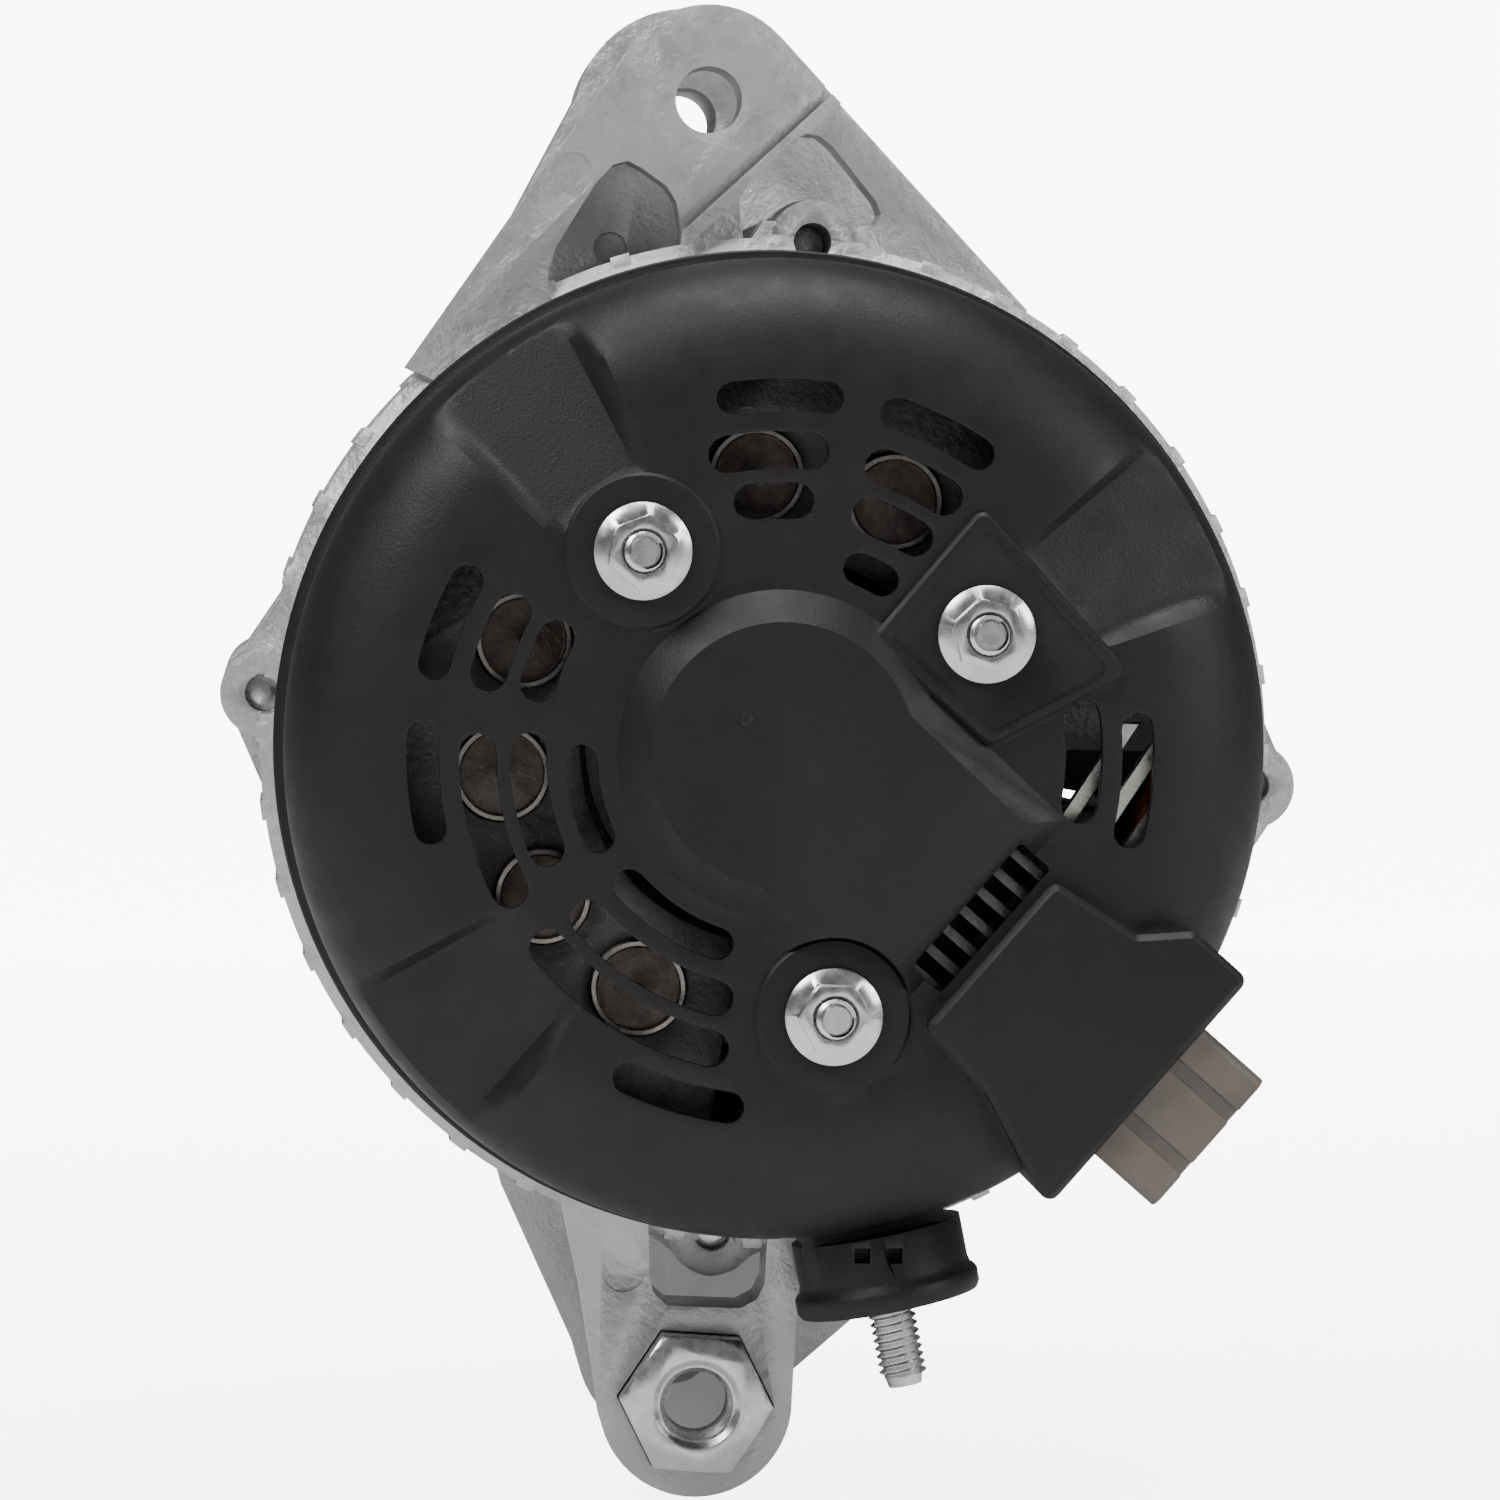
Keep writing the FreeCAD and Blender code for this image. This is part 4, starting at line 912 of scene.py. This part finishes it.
# --- stator -------------------------------------------------------------------------------------
class ALTERNATOR_OT_stator(bpy.types.Operator):
    """Make the stacked core edge and the hairpin winding crowns"""
    bl_idname = "alternator.stator"
    bl_label = "Stator"

    def execute(self, context):
        sheet = context.scene.alternator_sizes.lamination / MM
        back, front = CORE_LOW[1] / MM, CORE_HIGH[1] / MM
        outer = CORE_HIGH[0] / MM
        profile = [(outer - 0.6, back + 0.05)]
        count = int((front - back) / sheet)
        for index in range(count):
            station = back + 0.05 + index * sheet
            profile += [(outer + 0.02, station), (outer + 0.22, station + sheet * 0.2),
                        (outer + 0.22, station + sheet * 0.8)]
        profile += [(outer + 0.02, back + 0.05 + count * sheet), (outer - 0.6, back + 0.05 + count * sheet)]
        core = lathe("core_edge", profile, 120)
        settle(core, "lamination_steel", smooth=25)
        beads = []
        for index in range(CORE_WELDS):
            place = polar(outer + 0.1, 17.5 + 360 / CORE_WELDS * index)
            beads.append(prism("bead", arc(1.1, 0, 330, 12, place), back + 0.5, front - 0.5))
        beads = gather("core_welds", beads)
        settle(beads, "lamination_steel", finish="fan_steel")
        for name, root, tip in (("front", front, front + 12.0), ("rear", back, back - 12.0)):
            self.crown(name, root, tip)
        return {"FINISHED"}

    def crown(self, name, root, tip):
        """Bent hairpin ends: two slanted legs per slot that meet at a rounded tip."""
        middle = (root + tip) / 2
        legs = []
        for layer, (low_radius, high_radius, lean) in enumerate(((50.2, 52.6, 14), (56.0, 53.8, -14))):
            clear_selection()
            bpy.ops.curve.primitive_nurbs_path_add()
            path = bpy.context.object
            spline = path.data.splines[0]
            stations = [root - (tip - root) * 0.1, root + (tip - root) * 0.18, middle,
                        root + (tip - root) * 0.86, root + (tip - root) * 0.97]
            leans = [0, 0, lean * 0.5, lean * 0.95, lean]
            reach = [low_radius, low_radius, (low_radius + high_radius) / 2, high_radius, high_radius]
            for point, station, angle, radius in zip(spline.points, stations, leans, reach):
                x, z = polar(radius, angle)
                point.co = (x * MM, station * MM, z * MM, 1.0)
            spline.use_endpoint_u = True
            spline.resolution_u = 3
            path.data.bevel_depth = 1.15 * MM
            path.data.bevel_resolution = 1
            path.data.use_fill_caps = True
            pick(path)
            bpy.ops.object.convert(target="MESH")
            leg = bpy.context.object
            leg.name = f"{name}_leg_{layer}"
            legs += [twin(leg, leg.name, about_shaft(360 / HAIRPINS * index)) for index in range(1, HAIRPINS)]
            legs.append(leg)
        crown = gather(f"{name}_hairpins", legs)
        settle(crown, "copper_winding", "stator_winding", smooth=60)


# --- rectifier and regulator --------------------------------------------------------------------
class ALTERNATOR_OT_rectifier(bpy.types.Operator):
    """Make the diode cans with their resin filling and leads, and the phase bars"""
    bl_idname = "alternator.rectifier"
    bl_label = "Rectifier"

    def execute(self, context):
        for node, (circle, angles) in DIODE_CIRCLES.items():
            low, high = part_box(node)
            back, front = low[1] / MM, high[1] / MM
            can = lathe("can", [(0, front), (5.9, front), (6.0, front - 0.5), (6.0, back + 0.2),
                                (5.8, back), (5.3, back), (5.1, back + 0.3), (5.1, back + 1.8),
                                (0, back + 1.8)], 56)
            fill = lathe("fill", [(0, back + 1.9), (5.05, back + 1.9), (5.0, back + 1.0), (3.4, back + 0.75),
                                  (1.6, back + 0.55), (1.0, back + 0.25), (0, back + 0.2)], 40)
            lead = lathe("lead", [(0, back + 1.0), (0.75, back + 1.0), (0.75, back - 1.7), (0.5, back - 2.0),
                                  (0, back - 2.0)], 20)
            for index, angle in enumerate(angles):
                x, z = polar(circle, angle)
                place = shifted(x, 0, z)
                settle(twin(can, f"{node}_can_{index + 1}", place), "diode_metal", node)
                settle(twin(fill, f"{node}_resin_{index + 1}", place), "diode_metal", finish="diode_resin")
                settle(twin(lead, f"{node}_lead_{index + 1}", place), "tinned_copper")
            for master in (can, fill, lead):
                bpy.data.objects.remove(master, do_unlink=True)
        bars = []
        for index in range(PHASE_BARS):
            start = 31.5 + index * 5.2
            outline = [(start, -13), (start + 2.4, -13), (start + 13.4, 3.5), (start + 11.0, 3.5)]
            bars.append(prism("bar", outline, FACE + 6.5, FACE + 8.3))
        bars = gather("phase_bars", bars)
        soften(bars, 0.2, 1, 35)
        settle(bars, "tinned_copper")
        return {"FINISHED"}


class ALTERNATOR_OT_springs(bpy.types.Operator):
    """Wind the two brush springs"""
    bl_idname = "alternator.springs"
    bl_label = "Brush Springs"

    def execute(self, context):
        for end in ("front", "rear"):
            node = f"{end}_brush_spring"
            low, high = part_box(node)
            middle = (Vector(low) + Vector(high)) / 2
            clear_selection()
            bpy.ops.mesh.primitive_circle_add(vertices=8, radius=WIRE_RADIUS * MM)
            coil = bpy.context.object
            coil.name = f"{end}_brush_coil"
            coil.data.transform(shifted(COIL_RADIUS, 0, 0) @ rotated(90, "X"))
            wind = coil.modifiers.new("coil", "SCREW")
            wind.axis = "Z"
            wind.steps = 20
            wind.render_steps = 20
            wind.screw_offset = (COIL_LENGTH - 2 * WIRE_RADIUS) / COIL_TURNS * MM
            wind.iterations = COIL_TURNS
            pick(coil)
            bpy.ops.object.modifier_apply(modifier=wind.name)
            edit_all()
            bpy.ops.mesh.select_non_manifold()
            bpy.ops.mesh.fill_holes(sides=0)
            close_up(coil)
            x, z = polar(1.0, REGULATOR_ANGLE)
            aim = Vector((x, 0, z)).to_track_quat("Z", "Y").to_matrix().to_4x4()
            coil.data.transform(Matrix.Translation(middle) @ aim
                                @ shifted(0, 0, WIRE_RADIUS - COIL_LENGTH / 2))
            settle(coil, "spring_steel", node, smooth=60)
            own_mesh(coil)
        return {"FINISHED"}


class ALTERNATOR_OT_small_parts(bpy.types.Operator):
    """Soften the edges of the turned, pressed and forged parts"""
    bl_idname = "alternator.small_parts"
    bl_label = "Softened Parts"

    def execute(self, context):
        slots = {row["node"]: row["material_slot"] for row in frame["record"]["subparts"]}
        bodies = frame["record"]["behaviour"]["bodies"]
        for node, edge in (("pulley", 0.25), ("pulley_nut", 0.4), ("pulley_washer", 0.2), ("front_fan", 0.2),
                           ("rear_fan", 0.2), ("pole_front", 0.5), ("pole_rear", 0.5), ("shaft", 0.3),
                           ("positive_heat_sink", 0.25), ("negative_heat_sink", 0.25),
                           ("regulator_fins", 0.15), ("regulator", 0.5), ("case_bolts", 0.25)):
            body = next(name for name, nodes in bodies.items() if node in nodes)
            piece = merged_copy(node, node + "_finished")
            soften(piece, edge, 2, 38)
            settle(piece, slots[node], node, body=body)
        return {"FINISHED"}


# --- studio -------------------------------------------------------------------------------------
CAMERA_AZIMUTH, CAMERA_ELEVATION = -3.49, 2.41
CAMERA_AIM = (-3.9, 0.5)
CAMERA_LENS = 177.0
FLOOR_SIZE = 8.0
SOFTBOXES = (
    ("key_softbox", (-0.75, -0.75, 0.95), 0.5, 13.0),
    ("fill_softbox", (0.95, -0.7, 0.45), 0.5, 6.0),
    ("top_softbox", (0.05, -0.25, 1.1), 0.6, 11.0))


class ALTERNATOR_OT_stage(bpy.types.Operator):
    """Set up the pale floor, the soft lights and the camera"""
    bl_idname = "alternator.stage"
    bl_label = "Studio"

    def execute(self, context):
        ground = CAD_BOX[0][2] - 0.0002
        clear_selection()
        bpy.ops.mesh.primitive_plane_add(size=FLOOR_SIZE, location=(0, -0.4, ground))
        floor = bpy.context.object
        floor.name = "studio_floor"
        bpy.ops.object.mode_set(mode="EDIT")
        bpy.ops.mesh.select_all(action="DESELECT")
        bpy.ops.object.mode_set(mode="OBJECT")
        for edge in floor.data.edges:
            edge.select = all(floor.data.vertices[i].co.y > 3.4 for i in edge.vertices)
        for vertex in floor.data.vertices:
            vertex.select = vertex.co.y > 3.4
        bpy.ops.object.mode_set(mode="EDIT")
        bpy.ops.mesh.extrude_region_move(TRANSFORM_OT_translate={"value": (0, 0.4, 0.15)})
        bpy.ops.mesh.extrude_region_move(TRANSFORM_OT_translate={"value": (0, 0.1, 2.6)})
        bpy.ops.object.mode_set(mode="OBJECT")
        paper = Finish("studio_paper")
        paper.colour(paper.noise(3, 2), [(0.3, (0.93, 0.93, 0.93)), (0.7, (0.95, 0.95, 0.95))])
        paper.shader.inputs["Roughness"].default_value = 0.95
        paper.shader.inputs["Specular IOR Level"].default_value = 0.1
        paper.shader.inputs["Emission Color"].default_value = (1, 1, 1, 1)
        split = paper.nodes.new("ShaderNodeSeparateXYZ")
        paper.links.new(paper.place, split.inputs["Vector"])
        glow = paper.spread(split.outputs["Y"], 3.5, 9.0, -0.3, 1.3)
        seen = paper.nodes.new("ShaderNodeLightPath")
        strength = paper.nodes.new("ShaderNodeMath")
        strength.operation = "MULTIPLY"
        paper.links.new(glow, strength.inputs[0])
        paper.links.new(seen.outputs["Is Camera Ray"], strength.inputs[1])
        paper.links.new(strength.outputs["Value"], paper.shader.inputs["Emission Strength"])
        floor.data.materials.append(paper.material)
        world = bpy.data.worlds.new("studio_air")
        context.scene.world = world
        world.use_nodes = True
        world.node_tree.nodes["Background"].inputs["Color"].default_value = (1, 1, 1, 1)
        world.node_tree.nodes["Background"].inputs["Strength"].default_value = 0.16
        for name, place, size, power in SOFTBOXES:
            clear_selection()
            bpy.ops.object.light_add(type="AREA", location=place)
            lamp = bpy.context.object
            lamp.name = name
            lamp.data.size = size
            lamp.data.energy = power
            aim = Vector((0, -0.06, 0)) - Vector(place)
            lamp.rotation_euler = aim.to_track_quat("-Z", "Y").to_euler()
        azimuth, elevation = math.radians(CAMERA_AZIMUTH), math.radians(CAMERA_ELEVATION)
        away = Vector((math.sin(azimuth) * math.cos(elevation), -math.cos(azimuth) * math.cos(elevation),
                       math.sin(elevation)))
        look_at = Vector((CAMERA_AIM[0], FACE, CAMERA_AIM[1])) * MM
        clear_selection()
        bpy.ops.object.camera_add(location=look_at + away * context.scene.alternator_sizes.camera_distance)
        camera = bpy.context.object
        camera.rotation_euler = away.to_track_quat("Z", "Y").to_euler()
        camera.data.sensor_width = 36.0
        camera.data.lens = CAMERA_LENS
        camera.data.clip_start = 0.01
        context.scene.camera = camera
        return {"FINISHED"}


class ALTERNATOR_PT_panel(bpy.types.Panel):
    """Lists the pieces and their sizes"""
    bl_idname = "ALTERNATOR_PT_panel"
    bl_label = "Car Alternator"
    bl_space_type = "VIEW_3D"
    bl_region_type = "UI"
    bl_category = "Alternator"

    def draw(self, context):
        layout = self.layout
        for group in (context.scene.alternator_colours, context.scene.alternator_sizes):
            for field in group.__annotations__:
                layout.prop(group, field)
        for step in STEPS:
            layout.operator(step.bl_idname)


STEPS = (
    ALTERNATOR_OT_finishes, ALTERNATOR_OT_rear_cover, ALTERNATOR_OT_cover_fixings, ALTERNATOR_OT_castings,
    ALTERNATOR_OT_pivot_nut, ALTERNATOR_OT_terminal, ALTERNATOR_OT_plug, ALTERNATOR_OT_stator,
    ALTERNATOR_OT_rectifier, ALTERNATOR_OT_springs, ALTERNATOR_OT_small_parts, ALTERNATOR_OT_stage)
CLASSES = (AlternatorColours, AlternatorSizes) + STEPS + (ALTERNATOR_PT_panel,)


def register():
    for item in CLASSES:
        bpy.utils.register_class(item)
    bpy.types.Scene.alternator_colours = bpy.props.PointerProperty(type=AlternatorColours)
    bpy.types.Scene.alternator_sizes = bpy.props.PointerProperty(type=AlternatorSizes)


def unregister():
    del bpy.types.Scene.alternator_sizes
    del bpy.types.Scene.alternator_colours
    for item in reversed(CLASSES):
        bpy.utils.unregister_class(item)


def main():
    """Build everything in order."""
    register()
    for step in STEPS:
        getattr(bpy.ops.alternator, step.bl_idname.split(".")[1])()
    clear_selection()


if __name__ == "__main__":
    main()
